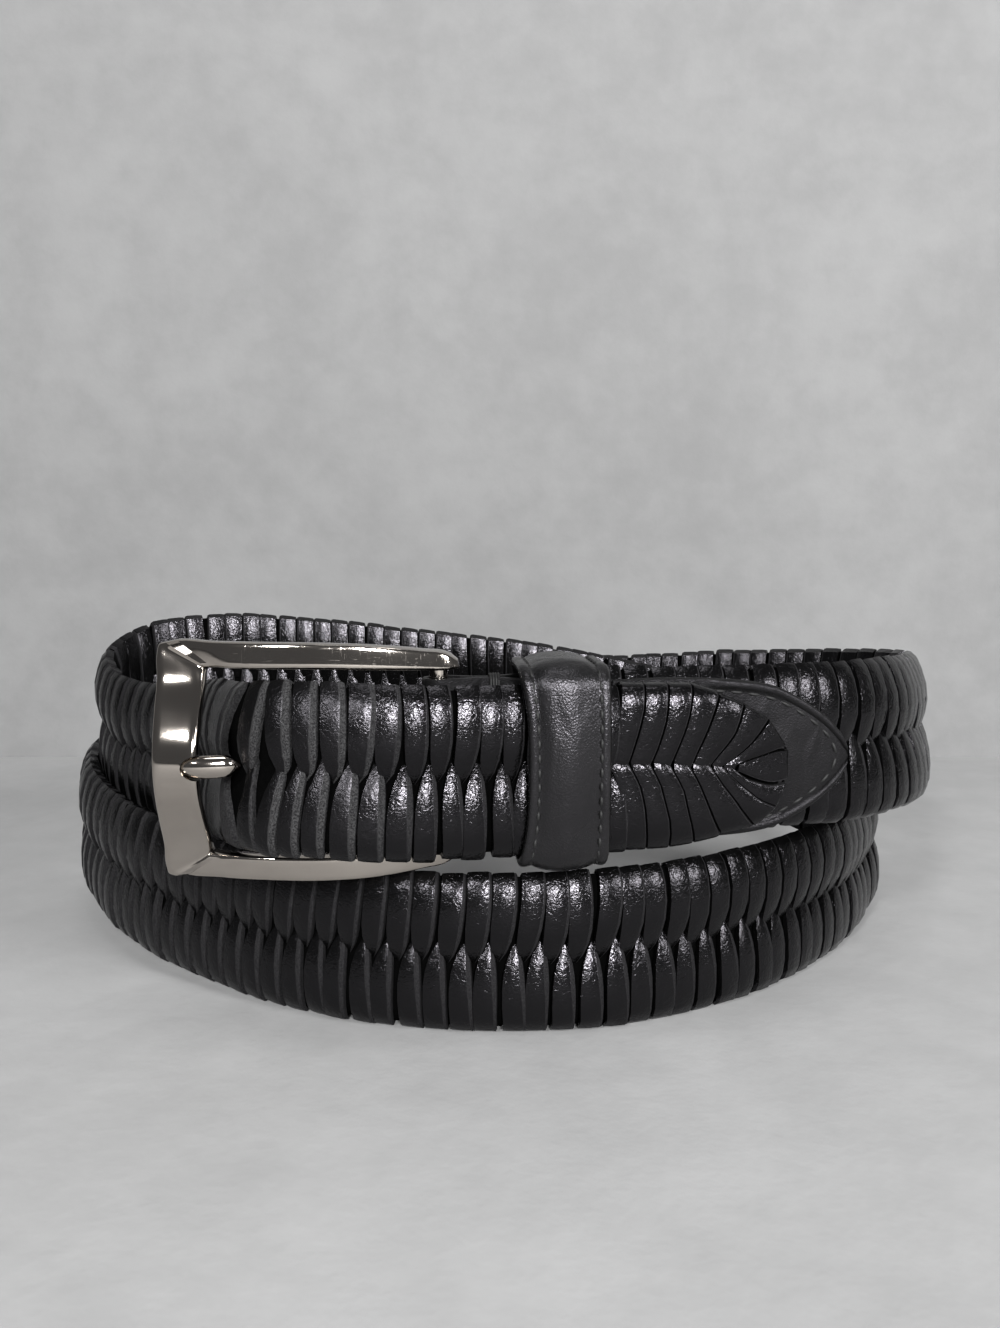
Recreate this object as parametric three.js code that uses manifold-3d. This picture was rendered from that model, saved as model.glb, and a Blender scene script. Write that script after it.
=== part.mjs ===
// A braided leather belt, fastened and coiled in two turns, standing on the edge of its lower turn.
// Millimetres. +Z is up, the buckle faces -Y, and the origin is on the floor under the middle of the coil.
import * as THREE from "three";
import { mergeVertices } from "three/addons/utils/BufferGeometryUtils.js";
import Module from "manifold-3d";

const wasm = await Module();
wasm.setup();

// The strap and the coil it makes.
const STRAP_WIDTH = 35;
const STRAP_THICK = 6.4;
const COIL_WIDTH = 238;
const COIL_DEPTH = 142;
const STRAP_RINGS = 184;

// The leather parts.
const TAB_LEATHER = 1.3;
const KEEPER_LEATHER = 1.5;
const KEEPER_PAD = 0.8;
const KEEPER_WIDTH = 16.2;
const TIP_LEATHER = 1.4;
const TIP_BORDER = 0.5;

// The buckle, measured from its pivot bar.
const FRAME_LENGTH = 56.4;
const FRAME_PLAY = 3.4;
const FRAME_OPENING = STRAP_WIDTH + FRAME_PLAY;
const FRAME_RIM = 5.4;
const FRAME_BOW = 8.4;
const PIVOT_RADIUS = 1.9;
const PRONG_WIDTH = 4.7;
const PRONG_THICK = 3.0;
const NOTCH_DEPTH = 4.2;

// Gaps between parts that touch.
const GAP = 0.3;
const KEEPER_PLAY = 3.1;
const TAB_SLOT = 17;
const HOLE_GAP = 0.45;

// Where the buckle and the keeper stand in the coil, and how far the front of the belt turns to the right.
const PIVOT = { x: -10.6, y: -0.4 * COIL_DEPTH, z: 1.7086 * STRAP_WIDTH };
const PRONG_RISE = 0.4;
const KEEPER_AT = { x: 14.8, y: PIVOT.y + 0.2, z: PIVOT.z - 0.1 };
const FRONT_TURN = THREE.MathUtils.degToRad(4.6);
const TAB_TURN = THREE.MathUtils.degToRad(7.3);

// The strap's route, one row per bend: x across the coil, y into it and z up to the strap's lower edge, then how
// far the upper edge leans out. x is in coil widths, y in coil depths, z and lean in strap widths. Where the strap
// runs through the buckle and the keeper, lengths and bows add its distance from the pivot bar, in frame lengths
// and in bows of the buckle.
const UPPER_FRONT = [
  { x: 0.0216, lengths: 0, y: -0.4, bows: 0.257, z: 1.208, lean: 0.0, tall: 0.93, thick: 0.55 },
  { x: 0.0591, lengths: 0, y: -0.4, bows: 0.392, z: 1.22, lean: 0.0, tall: 1, thick: 0.97 },
  { x: 0.1611, lengths: 0, y: -0.4, bows: 0.651, z: 1.233, lean: 0.0, tall: 1, thick: 1 },
  { x: 0.2583, lengths: 0, y: -0.4, bows: 0.905, z: 1.234, lean: -0.03, tall: 1, thick: 1 },
  { x: 0.3414, lengths: 0, y: -0.298, bows: 0, z: 1.229, lean: -0.097, tall: 1, thick: 1 },
  { x: 0.4064, lengths: 0, y: -0.211, bows: 0, z: 1.21, lean: -0.134, tall: 1, thick: 1 },
  { x: 0.4501, lengths: 0, y: -0.0939, bows: 0, z: 1.165, lean: -0.124, tall: 1, thick: 1 },
];
const OUTER_BACK = [
  { x: 0.4786, lengths: 0, y: 0.035, bows: 0, z: 1.12, lean: -0.06, tall: 1, thick: 1 },
  { x: 0.4863, lengths: 0, y: 0.1564, bows: 0, z: 1.081, lean: 0.021, tall: 1, thick: 1 },
  { x: 0.4386, lengths: 0, y: 0.2699, bows: 0, z: 1.04, lean: 0.052, tall: 1, thick: 1 },
  { x: 0.3342, lengths: 0, y: 0.364, bows: 0, z: 0.982, lean: 0.055, tall: 1, thick: 1 },
  { x: 0.1894, lengths: 0, y: 0.4315, bows: 0, z: 0.91, lean: 0.044, tall: 1, thick: 1 },
  { x: 0.0269, lengths: 0, y: 0.4691, bows: 0, z: 0.83, lean: 0.029, tall: 1, thick: 1 },
  { x: -0.1326, lengths: 0, y: 0.476, bows: 0, z: 0.743, lean: 0.016, tall: 1, thick: 1 },
  { x: -0.2731, lengths: 0, y: 0.453, bows: 0, z: 0.647, lean: 0.008, tall: 1, thick: 1 },
  { x: -0.3834, lengths: 0, y: 0.4016, bows: 0, z: 0.541, lean: 0.004, tall: 1, thick: 1 },
  { x: -0.456, lengths: 0, y: 0.3238, bows: 0, z: 0.432, lean: 0.005, tall: 1, thick: 1 },
];
const LOWER_FRONT = [
  { x: -0.4867, lengths: 0, y: 0.2227, bows: 0, z: 0.329, lean: 0.009, tall: 1, thick: 1 },
  { x: -0.4741, lengths: 0, y: 0.1043, bows: 0, z: 0.24, lean: 0.005, tall: 1, thick: 1 },
  { x: -0.4282, lengths: 0, y: -0.0254, bows: 0, z: 0.154, lean: -0.006, tall: 1, thick: 1 },
  { x: -0.359, lengths: 0, y: -0.1482, bows: 0, z: 0.085, lean: -0.013, tall: 1, thick: 1 },
  { x: -0.2722, lengths: 0, y: -0.2496, bows: 0, z: 0.033, lean: -0.025, tall: 1, thick: 1 },
  { x: -0.181, lengths: 0, y: -0.3306, bows: 0, z: 0.0, lean: -0.025, tall: 1, thick: 1 },
  { x: -0.0874, lengths: 0, y: -0.381, bows: 0, z: 0.0, lean: -0.003, tall: 1, thick: 1 },
  { x: 0.0098, lengths: 0, y: -0.399, bows: 0, z: 0.0, lean: 0.002, tall: 1, thick: 1 },
  { x: 0.1088, lengths: 0, y: -0.3817, bows: 0, z: 0.0, lean: -0.014, tall: 1, thick: 1 },
  { x: 0.2067, lengths: 0, y: -0.3193, bows: 0, z: 0.0, lean: -0.03, tall: 1, thick: 1 },
  { x: 0.2945, lengths: 0, y: -0.2162, bows: 0, z: 0.0, lean: -0.01, tall: 1, thick: 1 },
  { x: 0.365, lengths: 0, y: -0.0948, bows: 0, z: 0.0, lean: 0.02, tall: 1, thick: 1 },
];
const INNER_BACK = [
  { x: 0.4158, lengths: 0, y: 0.0282, bows: 0, z: 0.0, lean: 0.0, tall: 1, thick: 1 },
  { x: 0.4496, lengths: 0, y: 0.1272, bows: 0, z: 0.107, lean: -0.04, tall: 1, thick: 1 },
  { x: 0.4289, lengths: 0, y: 0.2157, bows: 0, z: 0.312, lean: -0.07, tall: 1, thick: 1 },
  { x: 0.352, lengths: 0, y: 0.2924, bows: 0, z: 0.57, lean: -0.075, tall: 1, thick: 1 },
  { x: 0.2298, lengths: 0, y: 0.3501, bows: 0, z: 0.822, lean: -0.055, tall: 1, thick: 1 },
  { x: 0.0768, lengths: 0, y: 0.3815, bows: 0, z: 1.021, lean: -0.031, tall: 1, thick: 1 },
  { x: -0.0884, lengths: 0, y: 0.3846, bows: 0, z: 1.159, lean: -0.015, tall: 1, thick: 1 },
  { x: -0.2417, lengths: 0, y: 0.3629, bows: 0, z: 1.275, lean: 0.004, tall: 1, thick: 1 },
  { x: -0.363, lengths: 0, y: 0.3161, bows: 0, z: 1.32, lean: 0.019, tall: 1, thick: 1 },
  { x: -0.4356, lengths: 0, y: 0.2468, bows: 0, z: 1.248, lean: 0.022, tall: 1, thick: 1 },
];
const TAIL = [
  { x: -0.4568, lengths: 0, y: 0.1607, bows: 0, z: 1.096, lean: 0.024, tall: 1, thick: 1 },
  { x: -0.4298, lengths: 0, y: 0.0657, bows: 0, z: 0.969, lean: 0.018, tall: 1, thick: 1 },
  { x: -0.3731, lengths: 0, y: -0.0403, bows: 0, z: 0.938, lean: -0.003, tall: 1, thick: 1 },
  { x: -0.3072, lengths: 0, y: -0.1598, bows: 0, z: 1.017, lean: -0.032, tall: 1, thick: 1 },
  { x: -0.2584, lengths: 0, y: -0.3063, bows: 0, z: 1.12, lean: -0.062, tall: 1, thick: 1 },
  { x: 0, lengths: -0.9734, y: -0.4, bows: 0.143, z: 1.168, lean: -0.074, tall: 0.985, thick: 1 },
  { x: 0, lengths: -0.9025, y: -0.4, bows: -0.726, z: 1.2, lean: -0.078, tall: 0.97, thick: 1 },
  { x: 0, lengths: -0.8014, y: -0.4, bows: -1.155, z: 1.21, lean: -0.076, tall: 0.975, thick: 1 },
  { x: 0, lengths: -0.6383, y: -0.4, bows: -1.381, z: 1.211, lean: -0.07, tall: 0.99, thick: 1 },
  { x: 0, lengths: -0.3309, y: -0.4, bows: -1.255, z: 1.182, lean: -0.027, tall: 1, thick: 1 },
  { x: 0.0081, lengths: 0, y: -0.4, bows: -0.786, z: 1.171, lean: 0.0, tall: 0.995, thick: 1 },
  { x: 0.1008, lengths: 0, y: -0.4, bows: -0.600, z: 1.17, lean: 0.0, tall: 0.975, thick: 1 },
  { x: 0.1471, lengths: 0, y: -0.4, bows: -0.520, z: 1.174, lean: 0.0, tall: 0.93, thick: 0.98 },
  { x: 0.1849, lengths: 0, y: -0.4, bows: -0.423, z: 1.182, lean: 0.0, tall: 0.865, thick: 0.92 },
  { x: 0.216, lengths: 0, y: -0.4, bows: -0.310, z: 1.19, lean: 0.0, tall: 0.72, thick: 0.85 },
  { x: 0.2374, lengths: 0, y: -0.4, bows: -0.243, z: 1.196, lean: 0.0, tall: 0.54, thick: 0.8 },
  { x: 0.2529, lengths: 0, y: -0.4, bows: -0.190, z: 1.2, lean: 0.0, tall: 0.24, thick: 0.75 },
  { x: 0.2576, lengths: 0, y: -0.4, bows: -0.161, z: 1.202, lean: 0.0, tall: 0.06, thick: 0.7 },
];

// The strap's section, one row per point of its outer face: two rounded lobes with a valley between them.
// up is in strap widths and out in strap thicknesses.
const SECTION = [
  { up: 0, out: 0.18 },
  { up: 0.05, out: 0.42 },
  { up: 0.25, out: 0.5 },
  { up: 0.43, out: 0.42 },
  { up: 0.5, out: 0.3 },
  { up: 0.57, out: 0.42 },
  { up: 0.75, out: 0.5 },
  { up: 0.95, out: 0.42 },
  { up: 1, out: 0.18 },
];

// The buckle frame from the middle of its front bar to the end of its upper arm; the lower half mirrors it.
// along is from the pivot bar in frame lengths; inner and outer are half heights, in half openings; back is how
// far the front face stands behind the bow's peak, in bows; deep is the metal's depth in pivot radii.
const FRAME = [
  { innerAlong: 0.832, inner: 0.0, outerAlong: 1.0, outer: 0.0, back: 0.0, deep: 1.6 },
  { innerAlong: 0.832, inner: 0.26, outerAlong: 1.0, outer: 0.26, back: 0.1, deep: 1.6 },
  { innerAlong: 0.832, inner: 0.56, outerAlong: 1.0, outer: 0.56, back: 0.42, deep: 1.65 },
  { innerAlong: 0.832, inner: 0.84, outerAlong: 1.0, outer: 0.86, back: 0.8, deep: 1.75 },
  { innerAlong: 0.832, inner: 0.985, outerAlong: 0.996, outer: 1.1, back: 0.97, deep: 1.9 },
  { innerAlong: 0.828, inner: 1.0, outerAlong: 0.97, outer: 1.215, back: 1.0, deep: 2.0 },
  { innerAlong: 0.79, inner: 1.0, outerAlong: 0.9, outer: 1.262, back: 0.93, deep: 2.1 },
  { innerAlong: 0.66, inner: 1.0, outerAlong: 0.68, outer: 1.28, back: 0.72, deep: 2.2 },
  { innerAlong: 0.45, inner: 1.0, outerAlong: 0.45, outer: 1.28, back: 0.63, deep: 2.3 },
  { innerAlong: 0.22, inner: 0.985, outerAlong: 0.22, outer: 1.245, back: 0.75, deep: 2.7 },
  { innerAlong: 0.06, inner: 0.97, outerAlong: 0.06, outer: 1.19, back: 0.98, deep: 3.4 },
  { innerAlong: -0.04, inner: 0.965, outerAlong: -0.035, outer: 1.14, back: 1.2, deep: 3.2 },
  { innerAlong: -0.075, inner: 0.98, outerAlong: -0.068, outer: 1.07, back: 1.36, deep: 1.9 },
];
// The metal's section: from the inner edge (0) to the outer edge (1), and from the front face (0) to the back (1).
const FRAME_SECTION = [
  { across: 0, deep: 0.3 },
  { across: 0.16, deep: 0.0 },
  { across: 0.6, deep: 0.03 },
  { across: 1, deep: 0.42 },
  { across: 1, deep: 0.75 },
  { across: 0.82, deep: 1 },
  { across: 0.1, deep: 1 },
];

// The tip tab's outline: along in strap widths from its square end, half height in strap widths,
// back in strap thicknesses, and how proud the turned border stands, in border heights.
const TIP = [
  { along: 0, half: 0.47, back: 0, border: 0 },
  { along: 0.3, half: 0.483, back: 0.06, border: 0 },
  { along: 0.58, half: 0.478, back: 0.15, border: 0.3 },
  { along: 0.76, half: 0.465, back: 0.22, border: 1 },
  { along: 0.88, half: 0.449, back: 0.27, border: 1 },
  { along: 0.99, half: 0.42, back: 0.31, border: 1 },
  { along: 1.08, half: 0.378, back: 0.36, border: 1 },
  { along: 1.18, half: 0.32, back: 0.42, border: 1 },
  { along: 1.27, half: 0.256, back: 0.48, border: 1 },
  { along: 1.34, half: 0.19, back: 0.53, border: 1 },
  { along: 1.39, half: 0.13, back: 0.57, border: 1 },
  { along: 1.425, half: 0.06, back: 0.6, border: 0.8 },
  { along: 1.432, half: 0.012, back: 0.61, border: 0.5 },
];

// A smooth reading of a table: cubic pieces between the rows, evenly spaced along the plan route.
function readRoute(rows, place, count) {
  const keys = Object.keys(rows[0]);
  const points = rows.map(place);
  const step = points.slice(1).map((p, i) => p.distanceTo(points[i]));
  const slope = (key, i) => {
    const before = i > 0 ? (rows[i][key] - rows[i - 1][key]) / step[i - 1] : null;
    const after = i < step.length ? (rows[i + 1][key] - rows[i][key]) / step[i] : null;
    if (before === null) return after;
    if (after === null) return before;
    return (before * step[i] + after * step[i - 1]) / (step[i] + step[i - 1]);
  };
  const at = (distance) => {
    let i = 0;
    let left = distance;
    while (i < step.length - 1 && left > step[i]) {
      left -= step[i];
      i += 1;
    }
    const t = left / step[i];
    const out = {};
    for (const key of keys) {
      const a = rows[i][key];
      const b = rows[i + 1][key];
      const ma = slope(key, i) * step[i];
      const mb = slope(key, i + 1) * step[i];
      out[key] = (2 * t ** 3 - 3 * t ** 2 + 1) * a + (t ** 3 - 2 * t ** 2 + t) * ma
        + (3 * t ** 2 - 2 * t ** 3) * b + (t ** 3 - t ** 2) * mb;
    }
    return out;
  };
  const total = step.reduce((sum, s) => sum + s, 0);
  return Array.from({ length: count }, (unused, k) => at((total * k) / (count - 1)));
}

// A closed body through rings of points that run the same way round.
function loft(rings, closed = false) {
  const sides = rings[0].length;
  const position = rings.flat().flatMap((p) => [p.x, p.y, p.z]);
  const index = [];
  const quads = closed ? rings.length : rings.length - 1;
  for (let r = 0; r < quads; r += 1) {
    const next = (r + 1) % rings.length;
    for (let s = 0; s < sides; s += 1) {
      const a = r * sides + s;
      const b = r * sides + ((s + 1) % sides);
      const c = next * sides + ((s + 1) % sides);
      const d = next * sides + s;
      index.push(a, b, c, a, c, d);
    }
  }
  if (!closed) {
    const first = rings[0];
    const last = rings[rings.length - 1];
    for (const [ring, start, turn] of [[first, 0, false], [last, (rings.length - 1) * sides, true]]) {
      for (const [a, b, c] of capOf(ring)) {
        index.push(...(turn ? [start + a, start + b, start + c] : [start + c, start + b, start + a]));
      }
    }
  }
  const corner = (k) => new THREE.Vector3().fromArray(position, 3 * index[k]);
  let volume = 0;
  for (let k = 0; k < index.length; k += 3) {
    volume += corner(k).dot(corner(k + 1).cross(corner(k + 2))) / 6;
  }
  if (volume < 0) index.reverse();
  const geometry = new THREE.BufferGeometry();
  geometry.setAttribute("position", new THREE.Float32BufferAttribute(position, 3));
  geometry.setIndex(index);
  return geometry;
}

// The triangles that fill one ring, found in the ring's own plane.
function capOf(ring) {
  const middle = ring.reduce((sum, p) => sum.add(p), new THREE.Vector3()).divideScalar(ring.length);
  const normal = new THREE.Vector3();
  ring.forEach((p, i) => {
    const q = ring[(i + 1) % ring.length];
    normal.add(p.clone().sub(middle).cross(q.clone().sub(middle)));
  });
  normal.normalize();
  const across = ring[0].clone().sub(middle);
  across.addScaledVector(normal, -across.dot(normal)).normalize();
  const up = normal.clone().cross(across);
  const flat = ring.map((p) => {
    const d = p.clone().sub(middle);
    return new THREE.Vector2(d.dot(across), d.dot(up));
  });
  return THREE.ShapeUtils.triangulateShape(flat, []);
}

function toSolid(geometry) {
  const bare = geometry.clone();
  bare.deleteAttribute("normal");
  bare.deleteAttribute("uv");
  const merged = mergeVertices(bare, 1e-4);
  return new wasm.Manifold(new wasm.Mesh({
    numProp: 3,
    vertProperties: new Float32Array(merged.attributes.position.array),
    triVerts: new Uint32Array(merged.index.array),
  }));
}

function toGeometry(solid) {
  const mesh = solid.getMesh();
  const geometry = new THREE.BufferGeometry();
  geometry.setAttribute("position", new THREE.Float32BufferAttribute(mesh.vertProperties, 3));
  geometry.setIndex(Array.from(mesh.triVerts));
  return geometry;
}

function named(name, geometry, look) {
  geometry.deleteAttribute("uv");
  geometry.computeVertexNormals();
  const mesh = new THREE.Mesh(geometry, look);
  mesh.name = name;
  return mesh;
}

// A box given by its centre and size, turned about the vertical.
function block(centre, size, turn) {
  const geometry = new THREE.BoxGeometry(size.x, size.y, size.z);
  geometry.rotateZ(turn);
  geometry.translate(centre.x, centre.y, centre.z);
  return toSolid(geometry);
}

// The prong runs from the pivot bar to the notch in the front bar.
const prongTip = { x: PIVOT.x - 0.89 * FRAME_LENGTH, y: PIVOT.y - 1.29 * FRAME_BOW };
const prongTurn = Math.atan2(prongTip.y - PIVOT.y, prongTip.x - PIVOT.x);
const prongLength = Math.hypot(prongTip.x - PIVOT.x, prongTip.y - PIVOT.y);
const prongMiddle = PIVOT.z + PRONG_RISE;

function makeStrap() {
  const rows = [...UPPER_FRONT, ...OUTER_BACK, ...LOWER_FRONT, ...INNER_BACK, ...TAIL];
  const place = (row) => new THREE.Vector3(
    row.x * COIL_WIDTH + row.lengths * FRAME_LENGTH,
    row.y * COIL_DEPTH + row.bows * FRAME_BOW,
    row.z * STRAP_WIDTH,
  );
  const main = readRoute(rows.slice(0, -5), place, STRAP_RINGS);
  const tip = readRoute(rows.slice(-7), place, 15);
  const start = tip.findIndex((row) => row.x > rows[rows.length - 6].x + 0.008);
  const stations = [...main, ...tip.slice(start)];
  const centres = stations.map((row) => {
    const p = place(row);
    p.z = Math.max(p.z, 0);
    return p;
  });
  const rings = stations.map((row, i) => {
    const ahead = centres[Math.min(i + 1, centres.length - 1)];
    const behind = centres[Math.max(i - 1, 0)];
    const way = new THREE.Vector2(ahead.x - behind.x, ahead.y - behind.y).normalize();
    const outward = new THREE.Vector3(way.y, -way.x, 0);
    const point = (up, out) => {
      const height = 0.5 + (up - 0.5) * row.tall;
      return centres[i].clone()
        .addScaledVector(outward, out * STRAP_THICK * row.thick + row.lean * STRAP_WIDTH * height)
        .add(new THREE.Vector3(0, 0, height * STRAP_WIDTH));
    };
    return [
      ...SECTION.map((s) => point(s.up, s.out)),
      ...SECTION.toReversed().map((s) => point(s.up, -s.out)),
    ];
  });
  const strap = toSolid(loft(rings));
  const middle = 0.76 * prongLength;
  const hole = block(
    new THREE.Vector3(PIVOT.x + Math.cos(prongTurn) * middle, PIVOT.y + Math.sin(prongTurn) * middle, prongMiddle),
    new THREE.Vector3(0.62 * prongLength, PRONG_THICK + 2 * HOLE_GAP, PRONG_WIDTH + 2 * HOLE_GAP),
    prongTurn,
  );
  return toGeometry(strap.subtract(hole));
}

function makeFrame() {
  const half = FRAME_OPENING / 2;
  const ringOf = (row, side) => FRAME_SECTION.map((s) => {
    const along = THREE.MathUtils.lerp(row.innerAlong, row.outerAlong, s.across);
    const high = THREE.MathUtils.lerp(row.inner, row.outer, s.across);
    const front = PIVOT.y - 1.4 * FRAME_BOW + row.back * FRAME_BOW;
    return new THREE.Vector3(
      PIVOT.x - along * FRAME_LENGTH,
      front + s.deep * row.deep * PIVOT_RADIUS,
      PIVOT.z + side * high * half,
    );
  });
  const lower = FRAME.slice(1).reverse().map((row) => ringOf(row, -1));
  const upper = FRAME.map((row) => ringOf(row, 1));
  const loop = toSolid(loft([...lower, ...upper]));
  const bar = new THREE.CylinderGeometry(PIVOT_RADIUS, PIVOT_RADIUS, FRAME_OPENING + 0.5 * FRAME_RIM, 20);
  bar.rotateX(Math.PI / 2);
  bar.translate(PIVOT.x, PIVOT.y, PIVOT.z);
  const notch = block(
    new THREE.Vector3(
      PIVOT.x - 0.832 * FRAME_LENGTH + 2 - NOTCH_DEPTH / 2 - 1,
      PIVOT.y - 1.4 * FRAME_BOW,
      prongMiddle,
    ),
    new THREE.Vector3(NOTCH_DEPTH + 2, 5 * PRONG_THICK, PRONG_WIDTH + 2 * HOLE_GAP),
    0,
  );
  return toGeometry(loop.add(toSolid(bar)).subtract(notch));
}

function makeProng() {
  const hook = PIVOT_RADIUS + 1.75;
  const half = PRONG_THICK / 2;
  const away = Math.asin(half / hook);
  const side = new THREE.Shape();
  side.moveTo(hook * Math.cos(away), -half);
  side.lineTo(0.86 * prongLength, -half);
  side.lineTo(0.965 * prongLength, -0.85 * half);
  side.lineTo(prongLength, -0.15 * half);
  side.lineTo(0.99 * prongLength, 0.5 * half);
  side.lineTo(0.95 * prongLength, half);
  side.lineTo(hook * Math.cos(away), half);
  side.absarc(0, 0, hook, away, 2 * Math.PI - away, false);
  const bore = new THREE.Path();
  bore.absarc(0, 0, PIVOT_RADIUS + 1.2 * GAP, 0, 2 * Math.PI, true);
  side.holes.push(bore);
  const profile = new THREE.ExtrudeGeometry(side, { depth: 3 * PRONG_WIDTH, bevelEnabled: false, curveSegments: 14 });
  profile.translate(0, 0, -1.5 * PRONG_WIDTH);
  const wide = PRONG_WIDTH / 2;
  const face = new THREE.Shape([
    new THREE.Vector2(-1.2 * hook, -wide),
    new THREE.Vector2(0.93 * prongLength, -wide),
    new THREE.Vector2(0.98 * prongLength, -0.72 * wide),
    new THREE.Vector2(1.02 * prongLength, -0.3 * wide),
    new THREE.Vector2(1.02 * prongLength, 0.3 * wide),
    new THREE.Vector2(0.98 * prongLength, 0.72 * wide),
    new THREE.Vector2(0.93 * prongLength, wide),
    new THREE.Vector2(-1.2 * hook, wide),
  ]);
  const outline = new THREE.ExtrudeGeometry(face, { depth: 4 * hook, bevelEnabled: false });
  outline.rotateX(Math.PI / 2);
  outline.translate(0, 2 * hook, 0);
  const prong = toGeometry(toSolid(profile).intersect(toSolid(outline)));
  prong.rotateZ(prongTurn);
  prong.translate(PIVOT.x, PIVOT.y, prongMiddle);
  return prong;
}

// The buckle tab is one piece of leather round the pivot bar, pinched behind it, with the strap's end between
// its two leaves.
function makeTab() {
  const wrap = PIVOT_RADIUS + 1.2 * GAP + TAB_LEATHER / 2;
  const leaf = STRAP_THICK / 2 + 2.1 * GAP + TAB_LEATHER / 2;
  const pinch = TAB_LEATHER / 2 + 0.16;
  const nose = new THREE.Vector3(PIVOT.x, PIVOT.y, 0);
  const line = [
    { along: 33, off: -leaf },
    { along: 24.5, off: -leaf },
    { along: 20, off: -leaf + 0.35 },
    { along: 15.5, off: -pinch - 2.15 },
    { along: 11.2, off: -pinch },
    { along: 7.5, off: -pinch - 0.25 },
    { along: 3.6, off: -0.84 * wrap },
  ];
  const middle = [];
  line.forEach((p) => middle.push(new THREE.Vector2(p.along, p.off)));
  for (let k = 0; k <= 10; k += 1) {
    const angle = -Math.PI * (0.42 + (1.16 * k) / 10);
    middle.push(new THREE.Vector2(wrap * Math.cos(angle), wrap * Math.sin(angle)));
  }
  line.toReversed().forEach((p) => middle.push(new THREE.Vector2(p.along, -p.off)));
  const shift = (offset) => middle.map((p, i) => {
    const ahead = middle[Math.min(i + 1, middle.length - 1)];
    const behind = middle[Math.max(i - 1, 0)];
    const way = ahead.clone().sub(behind).normalize();
    return new THREE.Vector2(p.x - way.y * offset, p.y + way.x * offset);
  });
  const outline = [...shift(TAB_LEATHER / 2), ...shift(-TAB_LEATHER / 2).reverse()];
  const high = 0.95 * STRAP_WIDTH;
  const leather = new THREE.ExtrudeGeometry(new THREE.Shape(outline), { depth: high, bevelEnabled: false });
  leather.rotateZ(TAB_TURN);
  leather.translate(nose.x, nose.y, PIVOT.z + 0.3 - high / 2);
  const slot = block(
    new THREE.Vector3(PIVOT.x - 1, PIVOT.y, prongMiddle),
    new THREE.Vector3(TAB_SLOT, 4 * PRONG_THICK, PRONG_WIDTH + 2 * HOLE_GAP),
    TAB_TURN,
  );
  return toGeometry(toSolid(leather).subtract(slot));
}

// The keeper is a padded leather band round the tail and the strap behind it.
function makeKeeper() {
  const inside = { deep: STRAP_THICK + KEEPER_PLAY, high: 0.548 * STRAP_WIDTH };
  const corner = 3.2;
  const path = [];
  for (const [turn, y, z] of [
    [-0.5, -inside.deep + corner, -inside.high + corner],
    [0, inside.deep - corner, -inside.high + corner],
    [0.5, inside.deep - corner, inside.high - corner],
    [1, -inside.deep + corner, inside.high - corner],
  ]) {
    for (let k = 0; k <= 4; k += 1) {
      const angle = Math.PI * (turn + (0.5 * k) / 4) - Math.PI / 2 + Math.PI / 2;
      path.push({ y: y + corner * Math.sin(angle - 0) * 1, z: z - corner * Math.cos(angle), angle });
    }
    if (turn === 0 || turn === 1) {
      const ahead = turn === 0 ? 1 : -1;
      for (const share of [0.28, 0.5, 0.72]) {
        const from = -inside.high + corner;
        path.push({ y: ahead * inside.deep, z: ahead * (from + 2 * (inside.high - corner) * share), angle: turn === 0 ? Math.PI / 2 : 1.5 * Math.PI });
      }
    }
  }
  const rings = path.map((p) => {
    const out = new THREE.Vector3(0, Math.sin(p.angle), -Math.cos(p.angle));
    const flare = Math.min(1, Math.abs(p.z) / inside.high) ** 3;
    const half = KEEPER_WIDTH / 2 + 0.9 * flare;
    const shift = -0.9 * flare;
    const section = [
      { x: -1, out: 0 },
      { x: -1, out: 0.8 * KEEPER_LEATHER },
      { x: -0.94, out: KEEPER_LEATHER },
      { x: -0.62, out: KEEPER_LEATHER },
      { x: -0.42, out: KEEPER_LEATHER + 0.75 * KEEPER_PAD },
      { x: 0, out: KEEPER_LEATHER + KEEPER_PAD },
      { x: 0.42, out: KEEPER_LEATHER + 0.75 * KEEPER_PAD },
      { x: 0.62, out: KEEPER_LEATHER },
      { x: 0.94, out: KEEPER_LEATHER },
      { x: 1, out: 0.8 * KEEPER_LEATHER },
      { x: 1, out: 0 },
    ];
    return section.map((s) => new THREE.Vector3(
      s.x * half + shift,
      p.y + out.y * s.out,
      p.z + out.z * s.out,
    ));
  });
  const geometry = loft(rings, true);
  geometry.rotateZ(FRONT_TURN);
  geometry.translate(KEEPER_AT.x, KEEPER_AT.y, KEEPER_AT.z);
  return geometry;
}

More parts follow.
